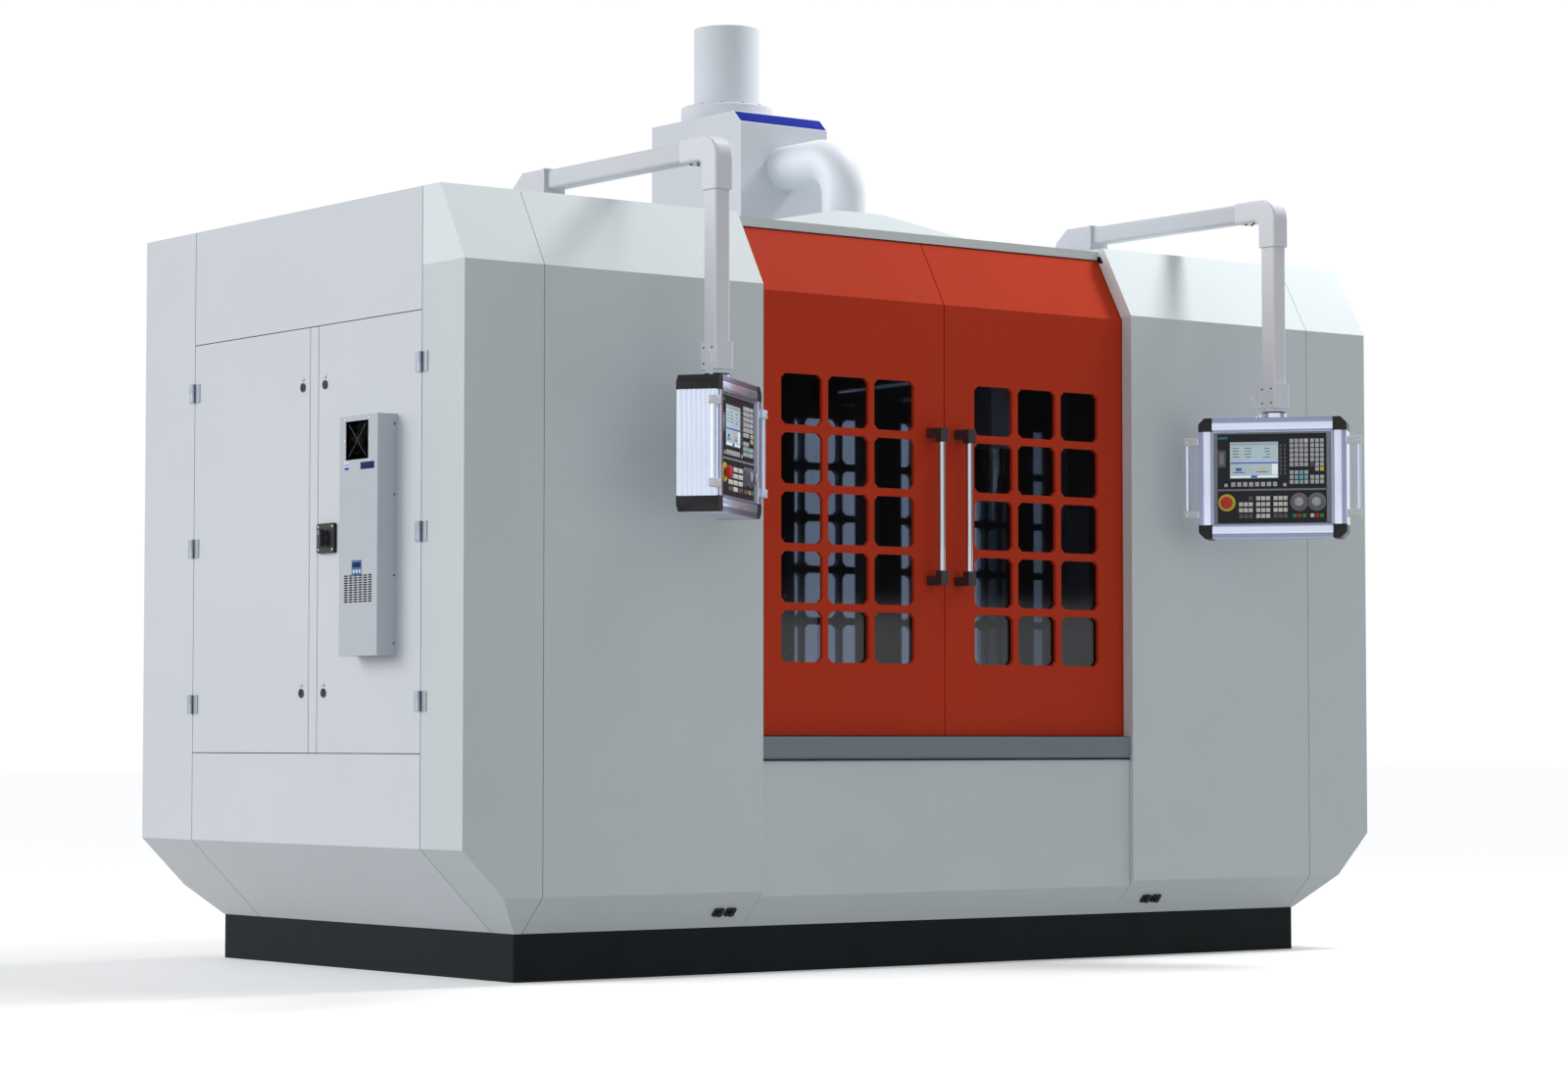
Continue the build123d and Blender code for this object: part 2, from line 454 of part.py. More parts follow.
def build_arm(side, sign, yaw):
    x = sign * ARM_X
    spigot_r = 25
    bracket_z0 = ROOF_Z + 32
    outline = [(ARM_PIVOT_Y - 103, bracket_z0), (ARM_PIVOT_Y - 103, 2912), (ARM_PIVOT_Y + 30, 2912),
               (ARM_PIVOT_Y + 95, 2862), (ARM_PIVOT_Y + 115, 2815), (ARM_PIVOT_Y + 115, bracket_z0)]
    bracket = prism(outline, "x", x - 42, x + 42)
    bracket = fillet(bracket.edges().filter_by(Axis.X).sort_by(Axis.Z)[-3:], 12)
    bracket = bracket - rod((x, ARM_PIVOT_Y, bracket_z0 - 1), "z", spigot_r + FIT, 51)
    flange = block((x - 46, x + 46), (ARM_PIVOT_Y - 118, ARM_PIVOT_Y - 103), (2812, 2914))
    tube = block((x - ARM_HALF_W, x + ARM_HALF_W), (ELBOW_Y, ARM_PIVOT_Y - 118), (ARM_Z0, ARM_Z1))
    tube = fillet(tube.edges().filter_by(Axis.Y), 14)
    add(side + "_arm_beam", bracket + flange + tube)

    sleeve, depth = 38, 46
    across = block((x - sleeve, x + sleeve), (POLE_Y - depth, ELBOW_Y), (ARM_Z0 - 6, ARM_Z1 + 5))
    down = block((x - sleeve, x + sleeve), (POLE_Y - depth, POLE_Y + depth), (ELBOW_Z, ARM_Z1 + 5))
    elbow = across + down
    across_edges = elbow.edges().filter_by(Axis.X)
    outer_corner = across_edges.group_by(Axis.Z)[-1].sort_by(Axis.Y)[:1]
    elbow = fillet(outer_corner, 78)
    inner_corner = [edge for edge in elbow.edges().filter_by(Axis.X)
                    if POLE_Y + 40 < edge.center().Y < POLE_Y + 48 and edge.center().Z > ELBOW_Z + 40]
    elbow = fillet(inner_corner, 20)
    long_edges = [edge for edge in elbow.edges() if abs(abs(edge.center().X - x) - sleeve) < 1
                  and edge.center().Y < ELBOW_Y - 1 and edge.center().Z > ELBOW_Z + 1]
    elbow = fillet(long_edges, 12)
    pole = block((x - 32, x + 32), (POLE_Y - 38, POLE_Y + 38), (COLLAR_Z0, ELBOW_Z + 20))
    pole = fillet(pole.edges().filter_by(Axis.Z), 12)
    collar = block((x - 39, x + 39), (POLE_Y - 48, POLE_Y + 48), (COLLAR_Z0, COLLAR_Z1))
    collar = fillet(collar.edges().filter_by(Axis.Z), 12)
    swivel_r, joint_z = 42, PANEL_TOP + 21
    post = elbow + pole + collar + rod((x, POLE_Y, joint_z + 0.5), "z", swivel_r, COLLAR_Z0 - joint_z - 0.5)
    post = post + rod((x, POLE_Y, PANEL_TOP + 5), "z", 18, 30)
    add(side + "_arm_post", post)
    build_panel(side, Pos(x, POLE_Y, 0) * Rot(0, 0, yaw))


def build_panel(side, place):
    """Operator panel, drawn facing -Y about the pole axis and then turned."""
    case = block((-PANEL_HALF_W, PANEL_HALF_W), (PANEL_FRONT, PANEL_BACK), (PANEL_BOTTOM, PANEL_TOP))
    case = chamfer(case.edges().filter_by(Axis.Y), 22)
    case = case - block((-FACE_HALF_W, FACE_HALF_W), (PANEL_FRONT - 1, PANEL_FRONT + FACE_DEPTH), (FACE_Z0, FACE_Z1))
    wall, rib = 6, 12
    middle_z = (PANEL_TOP + PANEL_BOTTOM) / 2
    for x in ((-PANEL_HALF_W + wall, -rib / 2), (rib / 2, PANEL_HALF_W - wall)):
        for z in ((PANEL_BOTTOM + wall, middle_z - rib / 2), (middle_z + rib / 2, PANEL_TOP - wall)):
            case = case - block(x, (PANEL_FRONT + FACE_DEPTH + wall, PANEL_BACK - wall), z)
    stem_room = 8
    case = case - rod((ESTOP[0], PANEL_FRONT + FACE_DEPTH - 1, ESTOP[1]), "y", stem_room, wall + 2)
    case = case + rod((0, 0, PANEL_TOP), "z", 48, 21) - rod((0, 0, PANEL_TOP + 3), "z", 18 + FIT, 30)
    pivot = (-67, 1.25, PANEL_TOP + 10)
    lug = block((pivot[0] - 8, -40), (8.5, 14.5), (PANEL_TOP, PANEL_TOP + 18))
    case = case + lug + rod((pivot[0], -6, pivot[2]), "y", 4, 16)
    lever = rod((pivot[0], -5.5, pivot[2]), "y", 8, 13.5)
    lever = lever + block((pivot[0] - 5, pivot[0] + 5), (-4.5, 7), (pivot[2], pivot[2] + 95))
    lever = lever - rod((pivot[0], -8, pivot[2]), "y", 4 + FIT, 20)
    tilt = -18
    turn = Pos(pivot[0], 0, pivot[2]) * Rot(0, tilt, 0) * Pos(-pivot[0], 0, -pivot[2])
    add(side + "_clamp_lever", place * turn * lever)

    grips = []
    for sign in (-1, 1):
        reach = sign * (PANEL_HALF_W + 46)
        grip = rod((reach, -78, 1684), "z", 9.5, 299)
        for z in (1694, 1973):
            edge = sorted((sign * PANEL_HALF_W, reach + sign * 11))
            grip = grip + block(edge, (-92, -64), (z - 14, z + 14))
        grips.append(place * grip)
    add(side + "_panel_case", place * case, *grips)

    face_y = (PANEL_FRONT + FACE_DEPTH - 5, PANEL_FRONT + FACE_DEPTH)
    face = block((-FACE_HALF_W + 1, FACE_HALF_W - 1), face_y, (FACE_Z0 + 1, FACE_Z1 - 1))
    stem = 5
    for x, z in (ESTOP, *KNOBS.values()):
        face = face - rod((x, face_y[0] - 1, z), "y", stem + FIT, 7)
    add(side + "_panel_face", place * face)

    x, z = ESTOP
    ring_y = face_y[0] - 9
    button = rod((x, ring_y - 16, z), "y", 22, 14) + rod((x, ring_y - 4, z), "y", 14, 8)
    button = button + rod((x, ring_y, z), "y", stem, 13.5)
    add(side + "_stop_button", place * fillet(button.edges().sort_by(Axis.Y)[:1], 5))
    for name, (x, z) in KNOBS.items():
        knob = rod((x, face_y[0] - 22, z), "y", 19, 12) + rod((x, face_y[0] - 11, z), "y", 31, 10.5)
        knob = knob + rod((x, face_y[0] - 2, z), "y", stem, 6.5)
        add(side + "_" + name + "_knob", place * knob)


def build_small_fixed():
    bases = []
    for sign in (-1, 1):
        place = (sign * ARM_X, ARM_PIVOT_Y, ROOF_Z)
        bases.append(rod(place, "z", 70, 31.5) + rod(place, "z", 25, 78))
    add("arm_bases", *bases)
    slant = math.degrees(math.atan2(FRONT_FOLD_Z - PLINTH_Z, -FRONT_Y - PLINTH_Y))
    fittings = []
    for x in (-1035, -983, 1007, 1058):
        middle_y, middle_z = -1067.5, 225
        fitting = Box(38, 34, 10) + Pos(0, 0, 9) * Cylinder(11, 10)
        fittings.append(Pos(x, middle_y, middle_z) * Rot(180 - slant, 0, 0) * Pos(0, 0, 5.4) * fitting)
    add("bulkhead_connectors", *fittings)


def build_gantry():
    add("machine_bed", block((-760, 760), (-850, 600), (PLINTH_Z, BED_Z)))
    table = block((-700, 700), (-820, 570), (BED_Z, TABLE_Z))
    slots = []
    for i in range(8):
        y = -725 + i * 171.5
        outline = [(y - 9, TABLE_Z + 1), (y - 9, TABLE_Z - 24), (y - 16, TABLE_Z - 24), (y - 16, TABLE_Z - 40),
                   (y + 16, TABLE_Z - 40), (y + 16, TABLE_Z - 24), (y + 9, TABLE_Z - 24), (y + 9, TABLE_Z + 1)]
        slots.append(prism(outline, "x", -701, 701))
    add("t_slot_table", table - slots)

    rail_top = RUNWAY_Z1 + 30
    runway = block((POST_X0, POST_X1), (-1000, 620), (RUNWAY_Z0, RUNWAY_Z1))
    runway = runway + block((POST_X0, POST_X1), (-960, -840), (PLINTH_Z, RUNWAY_Z0 + 1))
    runway = runway + block((POST_X0, POST_X1), (340, 500), (PLINTH_Z, RUNWAY_Z0 + 1))
    rail = block((863, 897), (-990, 610), (RUNWAY_Z1, rail_top))
    screw_x, screw_z = POST_X0 - 30, 2290
    bearing = block((screw_x - 30, POST_X0), (-1000, -980), (screw_z - 30, screw_z + 30))
    bearing = bearing - rod((screw_x, -1001, screw_z), "y", SCREW_R + SCREW_GAP, 22)
    add("gantry_runways", runway, rail, bearing, mirrored(runway), mirrored(rail))
    add("y_ball_screw", rod((screw_x, -998, screw_z), "y", SCREW_R, 1628))
    motor = block((screw_x - 50, POST_X0), (605, 690), (screw_z - 50, screw_z + 50))
    add("y_axis_motor", motor - rod((screw_x, 604, screw_z), "y", SCREW_R + SCREW_GAP, 40))

    bridge = block((-935, 935), (BRIDGE_Y0, BRIDGE_Y1), (BRIDGE_Z0, BRIDGE_Z1))
    x_screw_y, x_screw_z, x_screw_r = BRIDGE_Y0 + 18, 2540, 12
    bridge = bridge - block((-940, 940), (BRIDGE_Y0 - 1, BRIDGE_Y0 + 42), (x_screw_z - 20, x_screw_z + 20))
    for sign in (-1, 1):
        edge = sorted((sign * 825, sign * 935))
        bridge = bridge + block(edge, (-540, -240), (rail_top + 0.5, BRIDGE_Z0))
    nut = block((screw_x - 24, screw_x + 24), (-420, -360), (screw_z - 30, BRIDGE_Z0))
    bridge = bridge + (nut - rod((screw_x, -421, screw_z), "y", SCREW_R + SCREW_GAP, 62))
    x_rails = [block((-900, 900), (BRIDGE_Y0 - 18, BRIDGE_Y0), (z, z + 30)) for z in (2465, 2585)]
    x_motor = block((-1035, -935), (BRIDGE_Y0 - 25, BRIDGE_Y0 + 61), (x_screw_z - 43, x_screw_z + 43))
    x_motor = x_motor - rod((-966, x_screw_y, x_screw_z), "x", x_screw_r + SCREW_GAP, 32)
    add("gantry_bridge", bridge, *x_rails, x_motor)
    add("x_ball_screw", rod((-964, x_screw_y, x_screw_z), "x", x_screw_r, 1888))

    plate_y = (BRIDGE_Y0 - 120, BRIDGE_Y0 - 18.5)
    saddle = block((SPINDLE_X - 160, SPINDLE_X + 160), plate_y, (1800, 2660))
    x_nut = block((SPINDLE_X - 26, SPINDLE_X + 26), (plate_y[1], BRIDGE_Y0 + 34), (x_screw_z - 16, x_screw_z + 16))
    saddle = saddle + x_nut - rod((SPINDLE_X - 27, x_screw_y, x_screw_z), "x", x_screw_r + SCREW_GAP, 54)
    z_rails = [block((x - 12, x + 12), (plate_y[0] - 18, plate_y[0]), (1810, 2650))
               for x in (SPINDLE_X - 34, SPINDLE_X + 34)]
    add("x_saddle", saddle, *z_rails)

    ram_y = (SPINDLE_Y - RAM_HALF, plate_y[0] - 18.5)
    ram = block((SPINDLE_X - RAM_HALF, SPINDLE_X + RAM_HALF), ram_y, (RAM_Z0, RAM_Z1))
    nose_r = 42
    add("z_ram", ram - rod((SPINDLE_X, SPINDLE_Y, RAM_Z0 - 1), "z", nose_r + FIT, 61))
    spindle = rod((SPINDLE_X, SPINDLE_Y, 1850), "z", nose_r, RAM_Z0 + 58 - 1850)
    for z, radius, length in ((1800, 30, 50), (1752, 20, 48), (TOOL_TIP_Z, 7, 70)):
        spindle = spindle + rod((SPINDLE_X, SPINDLE_Y, z), "z", radius, length)
    add("spindle", spindle)


build_plinth()
build_enclosure()
build_rear_wall()
build_doors()
build_cabinet()
build_roof_items()
build_small_fixed()
build_arm("left", -1, LEFT_YAW)
build_arm("right", 1, RIGHT_YAW)
build_gantry()

os.makedirs("parts", exist_ok=True)
for name, shape in nodes.items():
    export_step(shape, f"parts/{name}.step")
print(len(nodes), "nodes")
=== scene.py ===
import json
import math
import bmesh
import bpy
from mathutils import Euler, Matrix, Vector


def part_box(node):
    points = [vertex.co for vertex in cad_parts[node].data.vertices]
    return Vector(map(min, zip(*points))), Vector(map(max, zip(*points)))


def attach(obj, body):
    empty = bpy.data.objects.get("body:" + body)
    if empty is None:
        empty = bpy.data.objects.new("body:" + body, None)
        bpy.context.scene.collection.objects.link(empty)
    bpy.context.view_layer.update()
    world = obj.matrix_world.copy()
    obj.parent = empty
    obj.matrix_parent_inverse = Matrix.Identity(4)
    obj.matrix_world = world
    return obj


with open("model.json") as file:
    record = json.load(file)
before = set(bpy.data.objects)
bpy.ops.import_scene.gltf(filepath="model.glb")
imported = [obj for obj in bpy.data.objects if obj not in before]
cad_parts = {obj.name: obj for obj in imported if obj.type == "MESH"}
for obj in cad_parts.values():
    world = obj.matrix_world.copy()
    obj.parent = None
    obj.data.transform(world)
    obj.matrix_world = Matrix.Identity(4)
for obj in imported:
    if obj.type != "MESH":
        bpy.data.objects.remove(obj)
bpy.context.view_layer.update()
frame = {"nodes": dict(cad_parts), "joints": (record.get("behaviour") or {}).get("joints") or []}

# Looks of an enclosed gantry machining centre, in metres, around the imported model.
MM = 0.001
joints = {joint["name"]: joint for joint in frame["joints"]}
scene = bpy.context.scene


# ---------------------------------------------------------------- materials
def new_material(name):
    material = bpy.data.materials.new(name)
    material.use_nodes = True
    tree = material.node_tree
    shader = tree.nodes["Principled BSDF"]
    return material, tree, shader


def object_coordinates(tree, scale=(1, 1, 1)):
    coordinates = tree.nodes.new("ShaderNodeTexCoord")
    mapping = tree.nodes.new("ShaderNodeMapping")
    mapping.inputs["Scale"].default_value = scale
    tree.links.new(coordinates.outputs["Object"], mapping.inputs["Vector"])
    return mapping.outputs["Vector"]


def noise(tree, vector, scale, detail=2.0, roughness=0.5):
    node = tree.nodes.new("ShaderNodeTexNoise")
    node.inputs["Scale"].default_value = scale
    node.inputs["Detail"].default_value = detail
    node.inputs["Roughness"].default_value = roughness
    tree.links.new(vector, node.inputs["Vector"])
    return node.outputs["Fac"]


def colour_ramp(tree, value, stops):
    """Stops are (position, colour) pairs."""
    node = tree.nodes.new("ShaderNodeValToRGB")
    ramp = node.color_ramp
    while len(ramp.elements) < len(stops):
        ramp.elements.new(0.5)
    for element, (position, colour) in zip(ramp.elements, stops):
        element.position = position
        element.color = (*colour, 1)
    tree.links.new(value, node.inputs["Fac"])
    return node.outputs["Color"]


def remap(tree, value, low, high):
    node = tree.nodes.new("ShaderNodeMapRange")
    node.inputs["To Min"].default_value = low
    node.inputs["To Max"].default_value = high
    tree.links.new(value, node.inputs["Value"])
    return node.outputs["Result"]


def bump(tree, shader, height, strength, distance):
    node = tree.nodes.new("ShaderNodeBump")
    node.inputs["Strength"].default_value = strength
    node.inputs["Distance"].default_value = distance
    tree.links.new(height, node.inputs["Height"])
    tree.links.new(node.outputs["Normal"], shader.inputs["Normal"])


def split_coordinates(tree, kind="Object"):
    """X, Y and Z outputs of the surface's position, or of its normal, in the object's frame."""
    coordinates = tree.nodes.new("ShaderNodeTexCoord")
    split = tree.nodes.new("ShaderNodeSeparateXYZ")
    tree.links.new(coordinates.outputs[kind], split.inputs["Vector"])
    return split.outputs


def calculate(tree, operation, first, second=0.0):
    """Math node. First is an output, and second is an output or a number."""
    node = tree.nodes.new("ShaderNodeMath")
    node.operation = operation
    tree.links.new(first, node.inputs[0])
    if isinstance(second, float):
        node.inputs[1].default_value = second
    else:
        tree.links.new(second, node.inputs[1])
    return node.outputs["Value"]


def cover(tree, mask, colour):
    """Another colour over the shader's base colour, where the mask is 1."""
    base = tree.nodes["Principled BSDF"].inputs["Base Color"]
    mix = tree.nodes.new("ShaderNodeMix")
    mix.data_type = "RGBA"
    factor, below, above = mix.inputs[0], mix.inputs[6], mix.inputs[7]
    tree.links.new(mask, factor)
    tree.links.new(base.links[0].from_socket, below)
    tree.links.new(colour, above)
    tree.links.new(mix.outputs[2], base)


def shade(colour, factor):
    return tuple(min(1.0, channel * factor) for channel in colour)


def linear(red, green, blue):
    """Screen colour, 0 to 255, as scene-linear values."""
    values = []
    for channel in (red, green, blue):
        c = channel / 255
        values.append(c / 12.92 if c <= 0.04045 else ((c + 0.055) / 1.055) ** 2.4)
    return tuple(values)


def painted(name, colour, roughness=0.45, grain=0.0012, variation=0.02, gloss=0.4):
    """Powder coat: fine orange peel, faint clouding and uneven gloss."""
    material, tree, shader = new_material(name)
    vector = object_coordinates(tree)
    clouds = noise(tree, vector, 1.7, 3.0)
    base = colour_ramp(tree, clouds, [(0.3, shade(colour, 1 - variation)), (0.7, shade(colour, 1 + variation))])
    tree.links.new(base, shader.inputs["Base Color"])
    smears = noise(tree, vector, 6.0, 4.0, 0.6)
    tree.links.new(remap(tree, smears, roughness - 0.05, roughness + 0.05), shader.inputs["Roughness"])
    peel = noise(tree, vector, 260.0, 2.0)
    bump(tree, shader, peel, 0.12, grain)
    shader.inputs["Specular IOR Level"].default_value = gloss
    return material


def paint_lit_above_fold(name, low_colour, lit_colour, level, roughness):
    """Powder coat with a painted highlight: above the fold line, level metres up, a lighter copy of the grey stands
    in for the stronger light on the upper slants.
    """
    material = painted(name, low_colour, roughness)
    tree = material.node_tree
    above = calculate(tree, "GREATER_THAN", split_coordinates(tree)["Z"], level)
    clouds = noise(tree, object_coordinates(tree), 1.3, 3.0)
    high = colour_ramp(tree, clouds, [(0.3, shade(lit_colour, 0.985)), (0.7, shade(lit_colour, 1.015))])
    # painted highlight: the lighter grey above the fold
    cover(tree, above, high)
    return material


def plastic(name, colour, roughness=0.4, texture=700.0, gloss=0.25):
    """Moulded plastic with a fine spark-eroded grain."""
    material, tree, shader = new_material(name)
    vector = object_coordinates(tree)
    clouds = noise(tree, vector, 35.0, 3.0)
    base = colour_ramp(tree, clouds, [(0.3, shade(colour, 0.93)), (0.7, shade(colour, 1.07))])
    tree.links.new(base, shader.inputs["Base Color"])
    grain = noise(tree, vector, texture, 2.0)
    tree.links.new(remap(tree, grain, roughness - 0.06, roughness + 0.06), shader.inputs["Roughness"])
    bump(tree, shader, grain, 0.15, 0.0003)
    shader.inputs["Specular IOR Level"].default_value = gloss
    return material


def metal(name, colour, roughness=0.3, stretch=(1, 1, 1), streaks=300.0):
    """Bare metal with fine machining or brushing lines along the axis with the small stretch."""
    material, tree, shader = new_material(name)
    vector = object_coordinates(tree, stretch)
    lines = noise(tree, vector, streaks, 4.0, 0.65)
    base = colour_ramp(tree, lines, [(0.25, shade(colour, 0.88)), (0.75, shade(colour, 1.06))])
    tree.links.new(base, shader.inputs["Base Color"])
    tree.links.new(remap(tree, lines, roughness - 0.08, roughness + 0.1), shader.inputs["Roughness"])
    bump(tree, shader, lines, 0.08, 0.0003)
    shader.inputs["Metallic"].default_value = 1.0
    return material


def brushed_profile(name, colour, roughness):
    """Anodised extrusion: satin, with hair-fine draw lines and hardly any tone variation."""
    material, tree, shader = new_material(name)
    lines = noise(tree, object_coordinates(tree), 900.0, 2.0, 0.5)
    base = colour_ramp(tree, lines, [(0.3, shade(colour, 0.985)), (0.7, shade(colour, 1.01))])
    tree.links.new(base, shader.inputs["Base Color"])
    tree.links.new(remap(tree, lines, roughness - 0.03, roughness + 0.03), shader.inputs["Roughness"])
    bump(tree, shader, lines, 0.04, 0.0001)
    shader.inputs["Metallic"].default_value = 0.7
    return material


def rim_and_face(name, face_colour, rim_shade_colour, metal_colour, skin_x):
    """Pale paint on the flat faces, painted shade on the edge faces round the rim so the seams and gaps read dark,
    and bare metal where it stands proud of skin_x.
    """
    material = painted(name, face_colour, 0.5)
    tree = material.node_tree
    across = calculate(tree, "ABSOLUTE", split_coordinates(tree, "Normal")["X"])
    on_rim = calculate(tree, "LESS_THAN", across, 0.5)
    proud = calculate(tree, "LESS_THAN", split_coordinates(tree)["X"], skin_x)
    speckle = noise(tree, object_coordinates(tree), 240.0, 3.0)
    seam_shade = colour_ramp(tree, speckle, [(0.3, shade(rim_shade_colour, 0.9)), (0.7, shade(rim_shade_colour, 1.1))])
    bare = colour_ramp(tree, speckle, [(0.3, shade(metal_colour, 0.94)), (0.7, shade(metal_colour, 1.06))])
    # painted shade on the edge faces, for the dark seams and door gap
    cover(tree, on_rim, seam_shade)
    cover(tree, proud, bare)
    metallic = tree.nodes["Principled BSDF"].inputs["Metallic"]
    tree.links.new(calculate(tree, "MULTIPLY", proud, 0.85), metallic)
    return material


def dark_inside(name, colour, inside, low, high):
    """Painted sheet box whose inner walls, between the low and high corners, carry painted shade: near black, as if
    unlit.
    """
    material = painted(name, colour, 0.45)
    tree = material.node_tree
    position = split_coordinates(tree)
    tests = []
    for i, axis in enumerate("XYZ"):
        tests.append(calculate(tree, "GREATER_THAN", position[axis], low[i]))
        tests.append(calculate(tree, "LESS_THAN", position[axis], high[i]))
    mask = tests[0]
    for test in tests[1:]:
        mask = calculate(tree, "MULTIPLY", mask, test)
    shade_speckle = noise(tree, object_coordinates(tree), 40.0, 3.0)
    black = colour_ramp(tree, shade_speckle, [(0.3, shade(inside, 0.8)), (0.7, shade(inside, 1.2))])
    # painted shade over the inner walls of the box, with a faint speckle
    cover(tree, mask, black)
    return material


def cast(name, colour, roughness=0.6, gloss=0.4):
    """Painted casting: coarse sand texture and dull gloss."""
    material, tree, shader = new_material(name)
    vector = object_coordinates(tree)
    clouds = noise(tree, vector, 5.0, 4.0)
    base = colour_ramp(tree, clouds, [(0.3, shade(colour, 0.85)), (0.7, shade(colour, 1.15))])
    tree.links.new(base, shader.inputs["Base Color"])
    tree.links.new(remap(tree, clouds, roughness - 0.1, roughness + 0.1), shader.inputs["Roughness"])
    sand = noise(tree, vector, 160.0, 4.0, 0.6)
    bump(tree, shader, sand, 0.3, 0.001)
    shader.inputs["Specular IOR Level"].default_value = gloss
    return material


def tinted_glass(name, tint):
    """Smoked safety glass: dark, clear and glossy, with faint smears in the gloss."""
    material, tree, shader = new_material(name)
    vector = object_coordinates(tree)
    smears = noise(tree, vector, 3.0, 5.0, 0.6)
    tree.links.new(remap(tree, smears, 0.0, 0.06), shader.inputs["Roughness"])
    base = colour_ramp(tree, smears, [(0.3, shade(tint, 0.95)), (0.7, shade(tint, 1.05))])
    tree.links.new(base, shader.inputs["Base Color"])
    shader.inputs["Transmission Weight"].default_value = 1.0
    shader.inputs["IOR"].default_value = 1.45
    return material


def glowing(name, colour, strength):
    """Lit area of a display, with a faint unevenness of its backlight."""
    material, tree, shader = new_material(name)
    vector = object_coordinates(tree)
    clouds = noise(tree, vector, 12.0, 1.0)
    base = colour_ramp(tree, clouds, [(0.2, shade(colour, 0.94)), (0.8, shade(colour, 1.04))])
    tree.links.new(base, shader.inputs["Base Color"])
    tree.links.new(base, shader.inputs["Emission Color"])
    shader.inputs["Emission Strength"].default_value = strength
    shader.inputs["Roughness"].default_value = 0.12
    return material


def chrome_with_dark_ends(name, low, high):
    """Door pull: polished tube between dark plastic end brackets, split by height."""
    material, tree, shader = new_material(name)
    height = split_coordinates(tree)["Z"]
    above_low = calculate(tree, "GREATER_THAN", height, low)
    below_high = calculate(tree, "LESS_THAN", height, high)
    mask = calculate(tree, "MULTIPLY", above_low, below_high)
    tree.links.new(mask, shader.inputs["Metallic"])
    dark, bright = linear(48, 44, 45), linear(205, 210, 216)
    tree.links.new(colour_ramp(tree, mask, [(0.0, dark), (1.0, bright)]), shader.inputs["Base Color"])
    tree.links.new(remap(tree, mask, 0.42, 0.14), shader.inputs["Roughness"])
    fine = noise(tree, object_coordinates(tree, (1, 1, 0.05)), 500.0, 2.0)
    bump(tree, shader, fine, 0.05, 0.0002)
    return material


